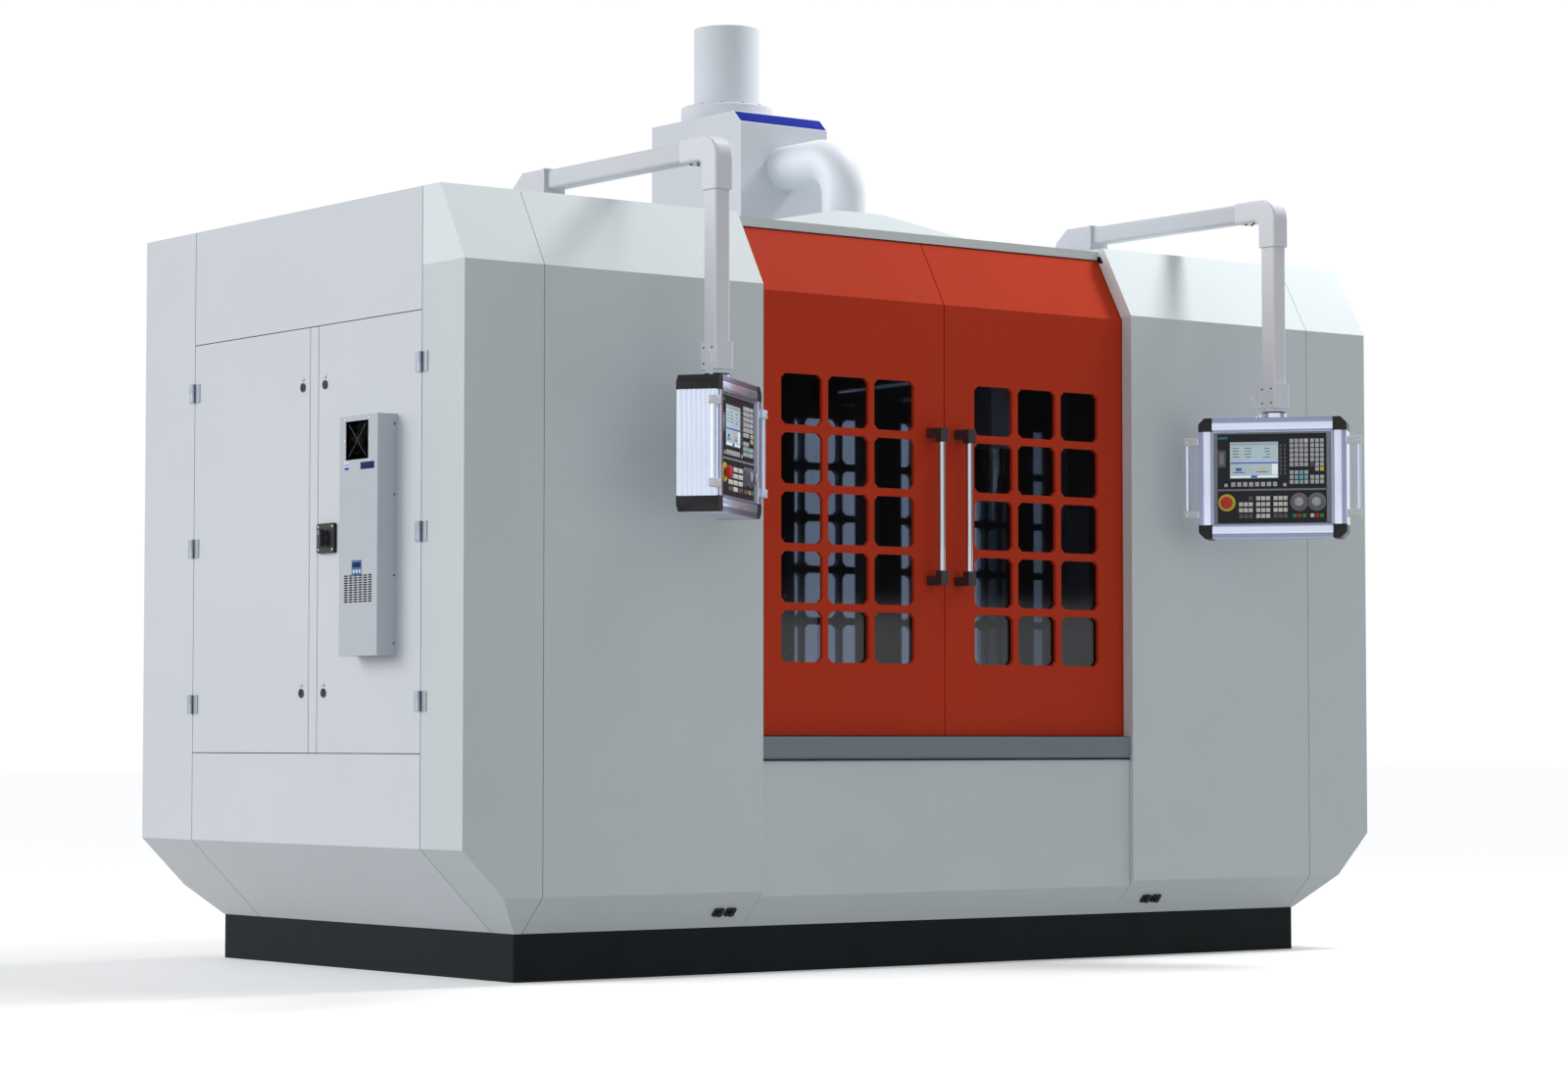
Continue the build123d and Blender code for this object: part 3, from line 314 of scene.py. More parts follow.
FOLD_HEIGHT = 2463 * MM
DOOR_SKIN_X, NO_HINGES_X = -2151 * MM, -10.0
UNIT_SHEET = 3 * MM
SIDE_PAINT, UNIT_PAINT = linear(205, 211, 217), linear(182, 188, 197)
unit_low, unit_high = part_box("cooling_unit")
unit_inside = (unit_low + Vector((1, 1, 1)) * UNIT_SHEET, unit_high - Vector((0, 1, 1)) * UNIT_SHEET)
looks = {
    # front panels: one grey, with a painted highlight above the fold for the brighter upper slants
    "front": paint_lit_above_fold("front_grey", linear(197, 206, 209), linear(220, 229, 231), FOLD_HEIGHT, 0.5),
    "side": painted("side_grey", SIDE_PAINT, 0.5),
    "roof": painted("roof_grey", linear(196, 205, 207), 0.5),
    "plinth": cast("plinth_black", linear(27, 32, 34), 0.6, 0.08),
    "door": painted("door_orange", linear(181, 54, 28), 0.5, 0.0006, 0.015, 0.1),
    "sill": painted("sill_grey", linear(118, 126, 136), 0.4),
    "arm": painted("arm_grey", linear(212, 215, 221), 0.35),
    "beam": painted("beam_grey", linear(196, 199, 205), 0.35),
    "duct": painted("duct_grey", linear(200, 204, 211), 0.5, gloss=0.2),
    "stack": painted("stack_grey", linear(208, 212, 220), 0.5, gloss=0.15),
    "pipe": painted("pipe_grey", linear(222, 226, 234), 0.4),
    # cooling unit: grey outside, painted shade on its inner walls
    "unit_box": dark_inside("unit_box", UNIT_PAINT, linear(10, 12, 14), *unit_inside),
    "inner": painted("inner_grey", linear(96, 102, 108), 0.5),
    "blue": painted("edge_blue", linear(26, 42, 142), 0.6, 0.0006, 0.02, 0.05),
    "zinc": metal("zinc_plate", linear(188, 196, 204), 0.28, (1, 1, 0.1)),
    "hinge": metal("hinge_steel", linear(158, 167, 176), 0.3, (1, 1, 0.1)),
    # dark rim colours: painted shade for the seams between panels and round the cabinet door
    "side_rim": rim_and_face("side_panel_paint", SIDE_PAINT, linear(84, 86, 90), SIDE_PAINT, NO_HINGES_X),
    "cabinet_door": rim_and_face("cabinet_door_paint", SIDE_PAINT, linear(70, 72, 76), linear(152, 161, 170),
                                 DOOR_SKIN_X),
    "steel": metal("ground_steel", linear(205, 208, 212), 0.2, (1, 1, 20)),
    "bed": cast("bed_grey", linear(120, 126, 130), 0.55),
    "table": metal("table_iron", linear(150, 153, 156), 0.35, (0.05, 1, 1), 120.0),
    "gantry": painted("gantry_dark", linear(60, 64, 70), 0.45),
    "ram": painted("ram_light", linear(190, 196, 204), 0.4),
    "plate": painted("plate_grey", linear(190, 192, 188), 0.45),
    "black": plastic("black_plastic", linear(34, 34, 36), 0.42),
    "deep_black": plastic("fan_black", linear(9, 11, 13), 0.6, gloss=0.05),
    "lock": plastic("lock_body", linear(40, 41, 44), 0.4),
    "soft_black": plastic("rubber_black", linear(22, 23, 25), 0.6, 400.0),
    "handle_black": plastic("handle_black", linear(52, 54, 58), 0.35, 400.0),
    "keypad": plastic("keypad_black", linear(22, 25, 33), 0.38),
    "grey_key": plastic("grey_key", linear(186, 188, 190), 0.45),
    "white_key": plastic("white_key", linear(214, 214, 210), 0.45),
    "dark_key": plastic("dark_key", linear(92, 94, 98), 0.45),
    "cyan_key": plastic("cyan_key", linear(120, 190, 205), 0.45),
    "yellow_key": plastic("yellow_key", linear(226, 196, 60), 0.45),
    "green_key": plastic("green_key", linear(62, 140, 74), 0.45),
    "red_key": plastic("red_key", linear(186, 50, 44), 0.45),
    "yellow": plastic("ring_yellow", linear(216, 196, 62), 0.4),
    "red": plastic("button_red", linear(198, 52, 48), 0.3),
    "knob": plastic("knob_grey", linear(120, 122, 128), 0.4),
    "knob_cap": plastic("knob_cap", linear(168, 170, 176), 0.35),
    "green": plastic("mark_green", linear(40, 150, 90), 0.4),
    "bezel": plastic("bezel_grey", linear(128, 134, 140), 0.4),
    "clip": plastic("clip_grey", linear(206, 209, 212), 0.3),
    "sticker_white": plastic("sticker_white", linear(214, 220, 232), 0.5, gloss=0.05),
    "sticker_blue": plastic("sticker_blue", linear(36, 92, 190), 0.5, gloss=0.05),
    "sticker_navy": plastic("sticker_navy", linear(22, 40, 92), 0.5, gloss=0.05),
    "sticker_steel": plastic("sticker_steel", linear(78, 112, 150), 0.5, gloss=0.05),
    "teal": plastic("label_teal", linear(30, 130, 130), 0.35),
    # one anodised extrusion in two copies: bright blue-white, and a darker lavender copy that is painted shade for
    # its stepped bands
    "anodised": brushed_profile("anodised_profile", linear(226, 236, 255), 0.2),
    "anodised_shaded": brushed_profile("anodised_step_shaded", linear(150, 157, 188), 0.28),
    "glass": tinted_glass("smoked_glass", (0.34, 0.37, 0.42)),
    "rear_glass": tinted_glass("rear_glass", (0.30, 0.36, 0.46)),
    "lcd": glowing("lcd_pale", linear(166, 186, 194), 0.35),
    "lcd_blue": glowing("lcd_blue", linear(44, 80, 190), 0.3),
    "lcd_white": glowing("lcd_white", linear(220, 228, 234), 0.4),
    "lcd_grey": glowing("lcd_grey", linear(150, 166, 174), 0.3),
    "lcd_ink": glowing("lcd_ink", linear(60, 70, 80), 0.1),
    "lcd_orange": glowing("lcd_orange", linear(236, 160, 50), 0.3),
}

handle_low, handle_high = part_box("left_door_handle")
END_SLEEVE = 53 * MM
looks["pull"] = chrome_with_dark_ends("door_pull", handle_low.z + END_SLEEVE, handle_high.z - END_SLEEVE)

node_looks = {
    "base_plinth": "plinth", "front_tower_panels": "front", "left_side_panels": "side_rim",
    "right_side_panels": "side_rim", "rear_panels": "side", "roof_panels": "roof", "front_apron": "front",
    "door_sill": "sill",
    "rear_window_wall": "inner", "rear_window_glass": "rear_glass", "cabinet_hinge_posts": "hinge",
    "cabinet_interior": "plate", "roof_hood": "roof", "suction_duct": "pipe", "mist_collector": "duct",
    "exhaust_stack": "stack", "arm_bases": "zinc", "bulkhead_connectors": "black", "machine_bed": "bed",
    "t_slot_table": "table", "gantry_runways": "gantry", "y_axis_motor": "black", "gantry_bridge": "gantry",
    "x_saddle": "gantry", "z_ram": "ram", "spindle": "steel", "y_ball_screw": "steel", "x_ball_screw": "steel",
    "cabinet_front_door": "cabinet_door", "cabinet_rear_door": "cabinet_door", "cooling_unit": "unit_box",
    "cooling_fan": "deep_black", "isolator_plate": "black", "isolator_handle": "handle_black",
}
LOCK_ROWS = ("front_upper", "front_lower", "rear_upper", "rear_lower")
for row in LOCK_ROWS:
    node_looks["cabinet_lock_" + row] = "lock"
for side in ("left", "right"):
    for part, look in (("door_leaf", "door"), ("door_glass", "glass"), ("door_handle", "pull"), ("arm_beam", "beam"),
                       ("arm_post", "arm"), ("clamp_lever", "clip"), ("panel_case", "anodised"),
                       ("panel_face", "keypad"), ("stop_button", "red"), ("feed_knob", "knob"),
                       ("speed_knob", "knob")):
        node_looks[f"{side}_{part}"] = look
for node, look in node_looks.items():
    for material_slot in frame["nodes"][node].material_slots:
        material_slot.material = looks[look]


# ---------------------------------------------------------------- piece builder
def facing(centre, axis):
    """Frame at centre with its Z along axis."""
    turn = Vector((0, 0, 1)).rotation_difference(Vector(axis)).to_matrix().to_4x4()
    return Matrix.Translation(centre) @ turn


class Piece:
    """One mesh made of many small bevelled solids, in a local frame."""

    def __init__(self, name, body, place=Matrix.Identity(4)):
        self.name, self.body, self.place = name, body, place
        self.mesh = bmesh.new()
        self.used = []

    def material_index(self, look):
        if look not in self.used:
            self.used.append(look)
        return self.used.index(look)

    def take(self, solid, look):
        index = self.material_index(look)
        for face in solid.faces:
            face.material_index = index
        data = bpy.data.meshes.new("part")
        solid.to_mesh(data)
        self.mesh.from_mesh(data)
        bpy.data.meshes.remove(data)
        solid.free()

    def prism(self, outline, low, high, look, bevel=0.0, axis="y", segments=2):
        """Outline in the two other axes, in X, Y, Z order, extruded along axis."""
        solid = bmesh.new()
        index = "xyz".index(axis)
        rings = []
        for level in (low, high):
            ring = []
            for point in outline:
                corner = list(point)
                corner.insert(index, level)
                ring.append(solid.verts.new(corner))
            rings.append(ring)
        count = len(outline)
        solid.faces.new(rings[0])
        solid.faces.new(rings[1][::-1])
        for i in range(count):
            j = (i + 1) % count
            solid.faces.new((rings[0][j], rings[0][i], rings[1][i], rings[1][j]))
        bmesh.ops.recalc_face_normals(solid, faces=solid.faces)
        if bevel:
            bmesh.ops.bevel(solid, geom=list(solid.edges), offset=bevel, segments=segments, affect="EDGES",
                            profile=0.5, clamp_overlap=True)
        self.take(solid, look)

    def box(self, x, y, z, look, bevel=0.0):
        self.prism([(x[0], y[0]), (x[1], y[0]), (x[1], y[1]), (x[0], y[1])], z[0], z[1], look, bevel, "z")

    def disc(self, centre, axis, radius, length, look, bevel=0.0, top_radius=None, sides=40):
        """Round piece from centre along axis, with a bevelled far rim."""
        solid = bmesh.new()
        end = radius if top_radius is None else top_radius
        profile = [(0, 0), (radius, 0), (end, length - bevel), (end - bevel * 0.3, length - bevel * 0.3),
                   (end - bevel, length), (0, length)]
        place = facing(centre, axis)
        rings = []
        for distance, height in profile:
            if distance == 0:
                rings.append([solid.verts.new(place @ Vector((0, 0, height)))])
                continue
            ring = []
            for i in range(sides):
                angle = math.tau * i / sides
                ring.append(solid.verts.new(place @ Vector((distance * math.cos(angle),
                                                            distance * math.sin(angle), height))))
            rings.append(ring)
        for lower, upper in zip(rings, rings[1:]):
            for i in range(sides):
                j = (i + 1) % sides
                if len(lower) == 1:
                    solid.faces.new((lower[0], upper[j], upper[i]))
                elif len(upper) == 1:
                    solid.faces.new((lower[i], lower[j], upper[0]))
                else:
                    solid.faces.new((lower[i], lower[j], upper[j], upper[i]))
        bmesh.ops.remove_doubles(solid, verts=solid.verts, dist=1e-6)
        bmesh.ops.recalc_face_normals(solid, faces=solid.faces)
        self.take(solid, look)

    def ring(self, centre, axis, inner, outer, length, look, sides=48):
        """Flat ring with slightly rounded rims."""
        solid = bmesh.new()
        soft = min(length, outer - inner) * 0.25
        profile = [(inner, 0), (outer, 0), (outer, length - soft), (outer - soft, length), (inner + soft, length),
                   (inner, length - soft)]
        place = facing(centre, axis)
        rings = []
        for i in range(sides):
            angle = math.tau * i / sides
            rings.append([solid.verts.new(place @ Vector((r * math.cos(angle), r * math.sin(angle), h)))
                          for r, h in profile])
        for i in range(sides):
            here, after = rings[i], rings[(i + 1) % sides]
            for k in range(len(profile)):
                m = (k + 1) % len(profile)
                solid.faces.new((here[k], after[k], after[m], here[m]))
        bmesh.ops.recalc_face_normals(solid, faces=solid.faces)
        self.take(solid, look)

    def done(self):
        self.mesh.transform(self.place)
        data = bpy.data.meshes.new(self.name)
        self.mesh.to_mesh(data)
        self.mesh.free()
        for look in self.used:
            data.materials.append(looks[look])
        piece = bpy.data.objects.new(self.name, data)
        scene.collection.objects.link(piece)
        smooth_by_angle(piece)
        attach(piece, self.body)
        return piece


def smooth_by_angle(piece, degrees=35):
    """Smooth shading with hard edges where faces meet at a steep angle."""
    mesh = piece.data
    limit = math.radians(degrees)
    work = bmesh.new()
    work.from_mesh(mesh)
    for face in work.faces:
        face.smooth = True
    for edge in work.edges:
        flat = len(edge.link_faces) == 2 and edge.calc_face_angle(math.pi) < limit
        edge.smooth = flat
    work.to_mesh(mesh)
    work.free()


def chamfered(x0, x1, z0, z1, cut):
    return [(x0 + cut, z0), (x1 - cut, z0), (x1, z0 + cut), (x1, z1 - cut),
            (x1 - cut, z1), (x0 + cut, z1), (x0, z1 - cut), (x0, z0 + cut)]


def span(*values):
    return tuple(value * MM for value in values)


# ---------------------------------------------------------------- operator panels
PANEL_HALF_W, PANEL_TOP, PANEL_BOTTOM = 281, 2063, 1603
CASE_FRONT, CASE_BACK, FACE_PLANE = -82, 64, -75
FACE_HALF_W, FACE_LOW, FACE_HIGH = 225, 1653, 2009
CAP, CAP_CHAMFER, PROUD = 51, 23, 1.6
KEY_PITCH_X, KEY_PITCH_Z = 18.5, 18.2
BUTTON_CENTRE, KNOB_X, KNOB_Z = (-175, 1739), {"feed": 102, "speed": 168.5}, 1739


def key_rows(piece, columns, rows, size, look, special=None, rise=2.6):
    special = special or {}
    for i, x in enumerate(columns):
        for j, z in enumerate(rows):
            chosen = special.get((i, j), look)
            if chosen is None:
                continue
            half_w, half_h = size[0] / 2, size[1] / 2
            piece.box(span(x - half_w, x + half_w), span(FACE_PLANE - rise, FACE_PLANE + 0.5),
                      span(z - half_h, z + half_h), chosen, 0.9 * MM)


def steps(first, pitch, count):
    return [first + pitch * i for i in range(count)]


def profile_strips(lip_end):
    """Bands of the extruded profile, from its outer edge inwards: start, end, rise, bevel and look."""
    # the outer and inner bands take the darker copy: painted shade on the steps
    return ((-1, 17, 0.9, 0.5, "anodised_shaded"), (18, 44, 2.2, 1.2, "anodised"),
            (45, lip_end, 1.2, 0.5, "anodised_shaded"))


def panel_frame(side, body, place):
    """Extruded profile round the case, with its black corner caps."""
    rails = Piece(side + "_panel_profile", body, place)
    front = CASE_FRONT
    middle_z = (PANEL_TOP + PANEL_BOTTOM) / 2
    half_h = (PANEL_TOP - PANEL_BOTTOM) / 2
    for sign in (-1, 1):
        edge = sign * PANEL_HALF_W
        z = span(PANEL_BOTTOM + CAP - 3, PANEL_TOP - CAP + 3)
        for start, end, rise, bevel, look in profile_strips(55):
            band = sorted((edge - sign * start, edge - sign * end))
            rails.box(span(*band), span(front - rise, front + 1), z, look, bevel * MM)
        level = middle_z + sign * half_h
        x = span(-PANEL_HALF_W + CAP - 3, PANEL_HALF_W - CAP + 3)
        for start, end, rise, bevel, look in profile_strips(53):
            band = sorted((level - sign * start, level - sign * end))
            rails.box(x, span(front - rise, front + 1), span(*band), look, bevel * MM)
        ribs = 8
        pitch = (CASE_BACK - CASE_FRONT - 10) / ribs
        for i in range(ribs):
            y0 = CASE_FRONT + 5 + pitch * i
            y = span(y0 + 1.2, y0 + pitch - 1.2)
            rails.box(span(*sorted((edge - sign, edge + sign * 1.5))), y, z, "anodised", 0.7 * MM)
            rails.box(x, y, span(*sorted((level - sign, level + sign * 1.5))), "anodised", 0.7 * MM)
    rails.done()

    caps = Piece(side + "_panel_caps", body, place)
    for sx in (-1, 1):
        for sz in (-1, 1):
            x_out, z_out = sx * (PANEL_HALF_W + PROUD), middle_z + sz * (half_h + PROUD)
            x_in, z_in = sx * (PANEL_HALF_W - CAP), middle_z + sz * (half_h - CAP)
            outline = [(x_in, z_in), (x_out, z_in), (x_out, z_out - sz * CAP_CHAMFER),
                       (x_out - sx * CAP_CHAMFER, z_out), (x_in, z_out)]
            caps.prism([span(*point) for point in outline], (CASE_FRONT - 3) * MM, (CASE_BACK + 2) * MM,
                       "black", 1.5 * MM)
    caps.done()


def panel_face(side, body, place):
    face = Piece(side + "_panel_details", body, place)
    plane = FACE_PLANE

    def sheet(x0, x1, z0, z1, look, rise, bevel=0.6):
        face.box(span(x0, x1), span(plane - rise, plane + 0.5), span(z0, z1), look, bevel * MM)

    bezel = 15
    for x in ((-FACE_HALF_W + 1, -FACE_HALF_W + bezel), (FACE_HALF_W - bezel - 4, FACE_HALF_W - 1)):
        sheet(*x, FACE_LOW + 1, FACE_HIGH - 1, "bezel", 3.5)
    sheet(-FACE_HALF_W + 1, FACE_HALF_W - 1, FACE_LOW + 1, FACE_LOW + 7, "bezel", 3.3)
    sheet(-FACE_HALF_W + 1, FACE_HALF_W - 1, FACE_HIGH - 7, FACE_HIGH - 1, "bezel", 3.3)
    sheet(-209, 204, 1784, 1791, "bezel", 2.2)
    sheet(-208, -172, 1983, 1992, "teal", 1.0, 0.3)
    sheet(-210, -178, 1875, 1941, "dark_key", 3.0, 2.0)
    sheet(-203, -186, 1885, 1931, "bezel", 3.8, 1.5)

    sheet(-170, 30, 1826, 1977, "black", 1.6, 1.2)
    sheet(-162, 22, 1832, 1971, "lcd", 2.4, 0.5)
    rise = 2.9
    sheet(-160, 20, 1958, 1969, "lcd_grey", rise, 0.2)
    sheet(-160, 20, 1888, 1893, "lcd_blue", rise, 0.2)
    sheet(-160, 20, 1834, 1842, "lcd_white", rise, 0.2)
    sheet(-82, -58, 1833.5, 1842.5, "lcd_blue", rise + 0.3, 0.2)
    sheet(-2, 20, 1846, 1886, "lcd_white", rise, 0.2)
    for i in range(4):
        z = 1946 - i * 11
        sheet(-152, -128, z, z + 2.5, "lcd_ink", rise, 0.1)
        sheet(-108 + (i % 2) * 5, -80, z, z + 2.5, "lcd_ink", rise, 0.1)
        sheet(-34 + (i % 3) * 6, -10, z - 2, z + 0.5, "lcd_ink", rise, 0.1)
    sheet(-140, -118, 1860, 1872, "lcd_blue", rise, 0.2)
    sheet(-150, -106, 1853, 1856, "lcd_ink", rise, 0.1)
    sheet(-52, -26, 1866, 1871, "lcd_orange", rise, 0.2)
    sheet(-60, -18, 1855, 1857.5, "lcd_ink", rise, 0.1)

    key_rows(face, steps(-150, 22.8, 8), [1809], (16, 17), "grey_key")
    key_rows(face, [-178, 47], [1806], (13, 12), "grey_key")
    key_rows(face, [31.5, 47.5], steps(1849.5, 15.2, 8), (8.5, 11), "dark_key")
    upper_rows = steps(1882.5, KEY_PITCH_Z, 6)
    size = (14.4, 15)
    key_rows(face, steps(73, KEY_PITCH_X, 4), upper_rows, size, "grey_key", {(3, 5): "white_key"})
    key_rows(face, steps(151.5, KEY_PITCH_X, 3), upper_rows, size, "grey_key", {(0, 0): "dark_key"})
    key_rows(face, [170, 188.5], [1864.5], size, "grey_key", {(1, 0): "yellow_key"})
    cross = {(2, 2): "cyan_key", (1, 1): "cyan_key", (2, 1): "cyan_key", (3, 1): "cyan_key", (2, 0): "cyan_key"}
    key_rows(face, steps(73, KEY_PITCH_X, 4), steps(1816, KEY_PITCH_Z, 3), size, "grey_key", cross)
    key_rows(face, steps(151.5, KEY_PITCH_X, 3), steps(1816, KEY_PITCH_Z, 2), size, "grey_key")

    lower = steps(1687, 22.6, 4)
    size = (15.6, 15.6)
    dark_row = {(i, 0): "dark_key" for i in range(3)}
    first = dict(dark_row)
    first.update({(0, 3): None, (1, 3): None, (2, 3): "dark_key"})
    key_rows(face, steps(-121, 18.7, 3), lower, size, "white_key", first)
    key_rows(face, steps(-55, 18.7, 3), lower, size, "white_key")
    key_rows(face, steps(11, 18.9, 3), lower, size, "white_key", dark_row)
    colours = ("green_key", "red_key", "green_key", "white_key", "red_key", "green_key")
    for x, look in zip((84, 102.5, 121, 151, 170, 187.5), colours):
        key_rows(face, [x], [1687], (14, 14), look)

    toward = (0, -1, 0)
    face.ring((BUTTON_CENTRE[0] * MM, (plane + 0.5) * MM, BUTTON_CENTRE[1] * MM), toward, 15 * MM, 33 * MM, 3.2 * MM,
              "yellow")
    for x in KNOB_X.values():
        centre = (x * MM, (plane + 0.5) * MM, KNOB_Z * MM)
        face.ring(centre, toward, 26 * MM, 35 * MM, 1.6 * MM, "bezel")
        marks = 13
        for i in range(marks):
            angle = math.radians(-130 + 260 * i / (marks - 1))
            dot = (centre[0] + 0.0325 * math.sin(angle), (plane - 1) * MM, centre[2] + 0.0325 * math.cos(angle))
            face.disc(dot, toward, 1.1 * MM, 0.6 * MM, "white_key", 0.2 * MM, sides=10)
    face.done()


def panel_buttons(side, place):
    """Grips and marks on the pieces that turn or travel."""
    toward = (0, -1, 0)
    cap = Piece(side + "_stop_cap", side + "_stop", place)
    x, z = BUTTON_CENTRE
    cap.disc((x * MM, -99.4 * MM, z * MM), toward, 21 * MM, 1.4 * MM, "red", 1.2 * MM, 17 * MM)
    cap.done()
    for name, x in KNOB_X.items():
        knob = Piece(f"{side}_{name}_cap", f"{side}_{name}", place)
        centre = Vector((x * MM, -97 * MM, KNOB_Z * MM))
        knob.disc(centre, toward, 17 * MM, 2.2 * MM, "knob_cap", 1 * MM, 15.5 * MM)
        knob.box(span(x - 1.3, x + 1.3), span(-100, -98), span(KNOB_Z + 3, KNOB_Z + 14), "white_key", 0.4 * MM)
        teeth = 24
        for i in range(teeth):
            angle = math.tau * i / teeth
            spot = centre + Vector((29.6 * MM * math.cos(angle), 11 * MM, 29.6 * MM * math.sin(angle)))
            knob.disc(spot, toward, 2.0 * MM, 1.8 * MM, "knob", 0.6 * MM, sides=10)
        knob.done()


def panel_grips(side, body, place):
    """Pale clips over the ends of both grab bars."""
    clips = Piece(side + "_grip_clips", body, place)
    for sign in (-1, 1):
        reach = sign * (PANEL_HALF_W + 46)
        for z in (1694, 1973):
            x = sorted((sign * (PANEL_HALF_W + 1.6), reach + sign * 12.2))
            clips.box(span(*x), span(-93.2, -62.8), span(z - 15.2, z + 15.2), "clip", 3.5 * MM)
            clips.disc(Vector((reach, -93, z)) * MM, (0, -1, 0), 4.5 * MM, 1.4 * MM, "zinc", 0.6 * MM, sides=20)
    clips.done()


def panel_back(side, body, place):
    """Rear cover of the case with its screws and vents."""
    back = Piece(side + "_panel_back", body, place)
    y = (CASE_BACK - 1, CASE_BACK + 2)
    back.prism([span(*p) for p in chamfered(-215, 215, PANEL_BOTTOM + 45, PANEL_TOP - 45, 16)], y[0] * MM, y[1] * MM,
               "clip", 1 * MM)
    for x in (-200, 200):
        for z in (PANEL_BOTTOM + 60, (PANEL_BOTTOM + PANEL_TOP) / 2, PANEL_TOP - 60):
            back.disc(Vector((x, CASE_BACK + 1.8, z)) * MM, (0, 1, 0), 4 * MM, 1.6 * MM, "zinc", 0.6 * MM, sides=18)
    # vents drawn as black strips on the cover: painted shade for the slots
    for i in range(9):
        z = PANEL_BOTTOM + 90 + i * 12
        back.box(span(-70, 70), span(y[1] - 0.4, y[1] + 0.8), span(z, z + 5), "soft_black", 0.4 * MM)
    back.done()


def operator_panels():
    for side in ("left", "right"):
        body = side + "_panel"
        inward = Vector(joints[side + "_stop_push"]["axis"])
        yaw = math.atan2(-inward.x, inward.y)
        pole = Vector(joints[side + "_panel_swivel"]["pos_m"])
        place = Matrix.Translation((pole.x, pole.y, 0)) @ Matrix.Rotation(yaw, 4, "Z")
        panel_frame(side, body, place)
        panel_face(side, body, place)
        panel_buttons(side, place)
        panel_grips(side, body, place)
        panel_back(side, body, place)


operator_panels()


# ---------------------------------------------------------------- arms
def arm_details():
    """Clamp screws on the collars and elbows, the swivel seals, and the flange bolts."""
    for side in ("left", "right"):
        body = side + "_arm"
        pole = Vector(joints[side + "_panel_swivel"]["pos_m"])
        trim = Piece(side + "_arm_trim", body)
        collar = (2104 * MM, 2198 * MM)
        outer = 39 * MM
        for y in (-24, 24):
            for z in (collar[0] + 20 * MM, collar[1] - 20 * MM):
                for way in (-1, 1):
                    trim.disc((pole.x + way * outer, pole.y + y * MM, z), (way, 0, 0), 4 * MM, 2 * MM, "dark_key",
                              0.8 * MM, sides=18)
        for x in (-16, 16):
            for y in (-1372, -1330):
                trim.disc((pole.x + x * MM, y * MM, 2831 * MM), (0, 0, -1), 5 * MM, 6 * MM, "dark_key", 1 * MM,
                          sides=18)
        trim.ring((pole.x, pole.y, 2085.5 * MM), (0, 0, 1), 40 * MM, 44.5 * MM, 4 * MM, "soft_black")
        flange_y = -458 * MM
        for x in (-40, 40):
            for z in (2822, 2904):
                trim.disc((pole.x + x * MM, flange_y, z * MM), (0, -1, 0), 4.5 * MM, 3.5 * MM, "zinc", 1 * MM,
                          sides=6)
        trim.done()


arm_details()


# ---------------------------------------------------------------- cabin details
ROOF_BOLTS, ROOF_BOLT_CIRCLE, ROOF_BOLT_Z = 12, 162 * MM, 3356.5 * MM
ARM_BOLTS, ARM_BOLT_CIRCLE, ARM_BOLT_Z = 6, 57 * MM, 2769 * MM


def bolt_circle(piece, centre, z, radius, count, turn, height, bevel, size):
    """Hexagon heads round a centre, facing up. Turn shifts them by that part of their pitch."""
    for i in range(count):
        angle = math.tau * (i + turn) / count
        spot = (centre.x + radius * math.cos(angle), centre.y + radius * math.sin(angle), z)
        piece.disc(spot, (0, 0, 1), size, height, "zinc", bevel, sides=6)


def machine_details():
    """Stripe on the collector, the sill's seal, and the bolts on the roof."""
    blue = Piece("collector_stripe", "machine")
    low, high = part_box("mist_collector")
    cut, lift, gap = 48 * MM, 0.6 * MM, 4 * MM
    normal = Vector((0, -1, 1)).normalized() * lift
    a = Vector((0, low.y, high.z - cut)) + normal
    b = Vector((0, low.y + cut, high.z)) + normal
    inward = -normal.normalized() * 2 * MM
    along = (b - a).normalized() * gap
    outline = [tuple((a + along)[1:]), tuple((b - along)[1:]), tuple((b - along + inward)[1:]),
               tuple((a + along + inward)[1:])]
    blue.prism(outline, low.x + gap * 0.5, high.x - gap * 0.5, "blue", 0.3 * MM, "x")
    blue.done()

    seals = Piece("cabin_seals", "machine")
    low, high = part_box("door_sill")
    seals.box((low.x, high.x), (low.y + 0.002, low.y + 0.012), (low.z - 0.004, low.z + 0.002), "soft_black")
    seals.done()

    bolts = Piece("roof_bolts", "machine")
    flange_low, flange_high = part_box("exhaust_stack")
    centre = (flange_low + flange_high) / 2
    bolt_circle(bolts, centre, ROOF_BOLT_Z, ROOF_BOLT_CIRCLE, ROOF_BOLTS, 0.5, 6 * MM, 1 * MM, 8 * MM)
    for side in ("left", "right"):
        pivot = Vector(joints[side + "_arm_swing"]["pos_m"])
        bolt_circle(bolts, pivot, ARM_BOLT_Z, ARM_BOLT_CIRCLE, ARM_BOLTS, 0, 1.2 * MM, 0.4 * MM, 6 * MM)
    bolts.done()


machine_details()


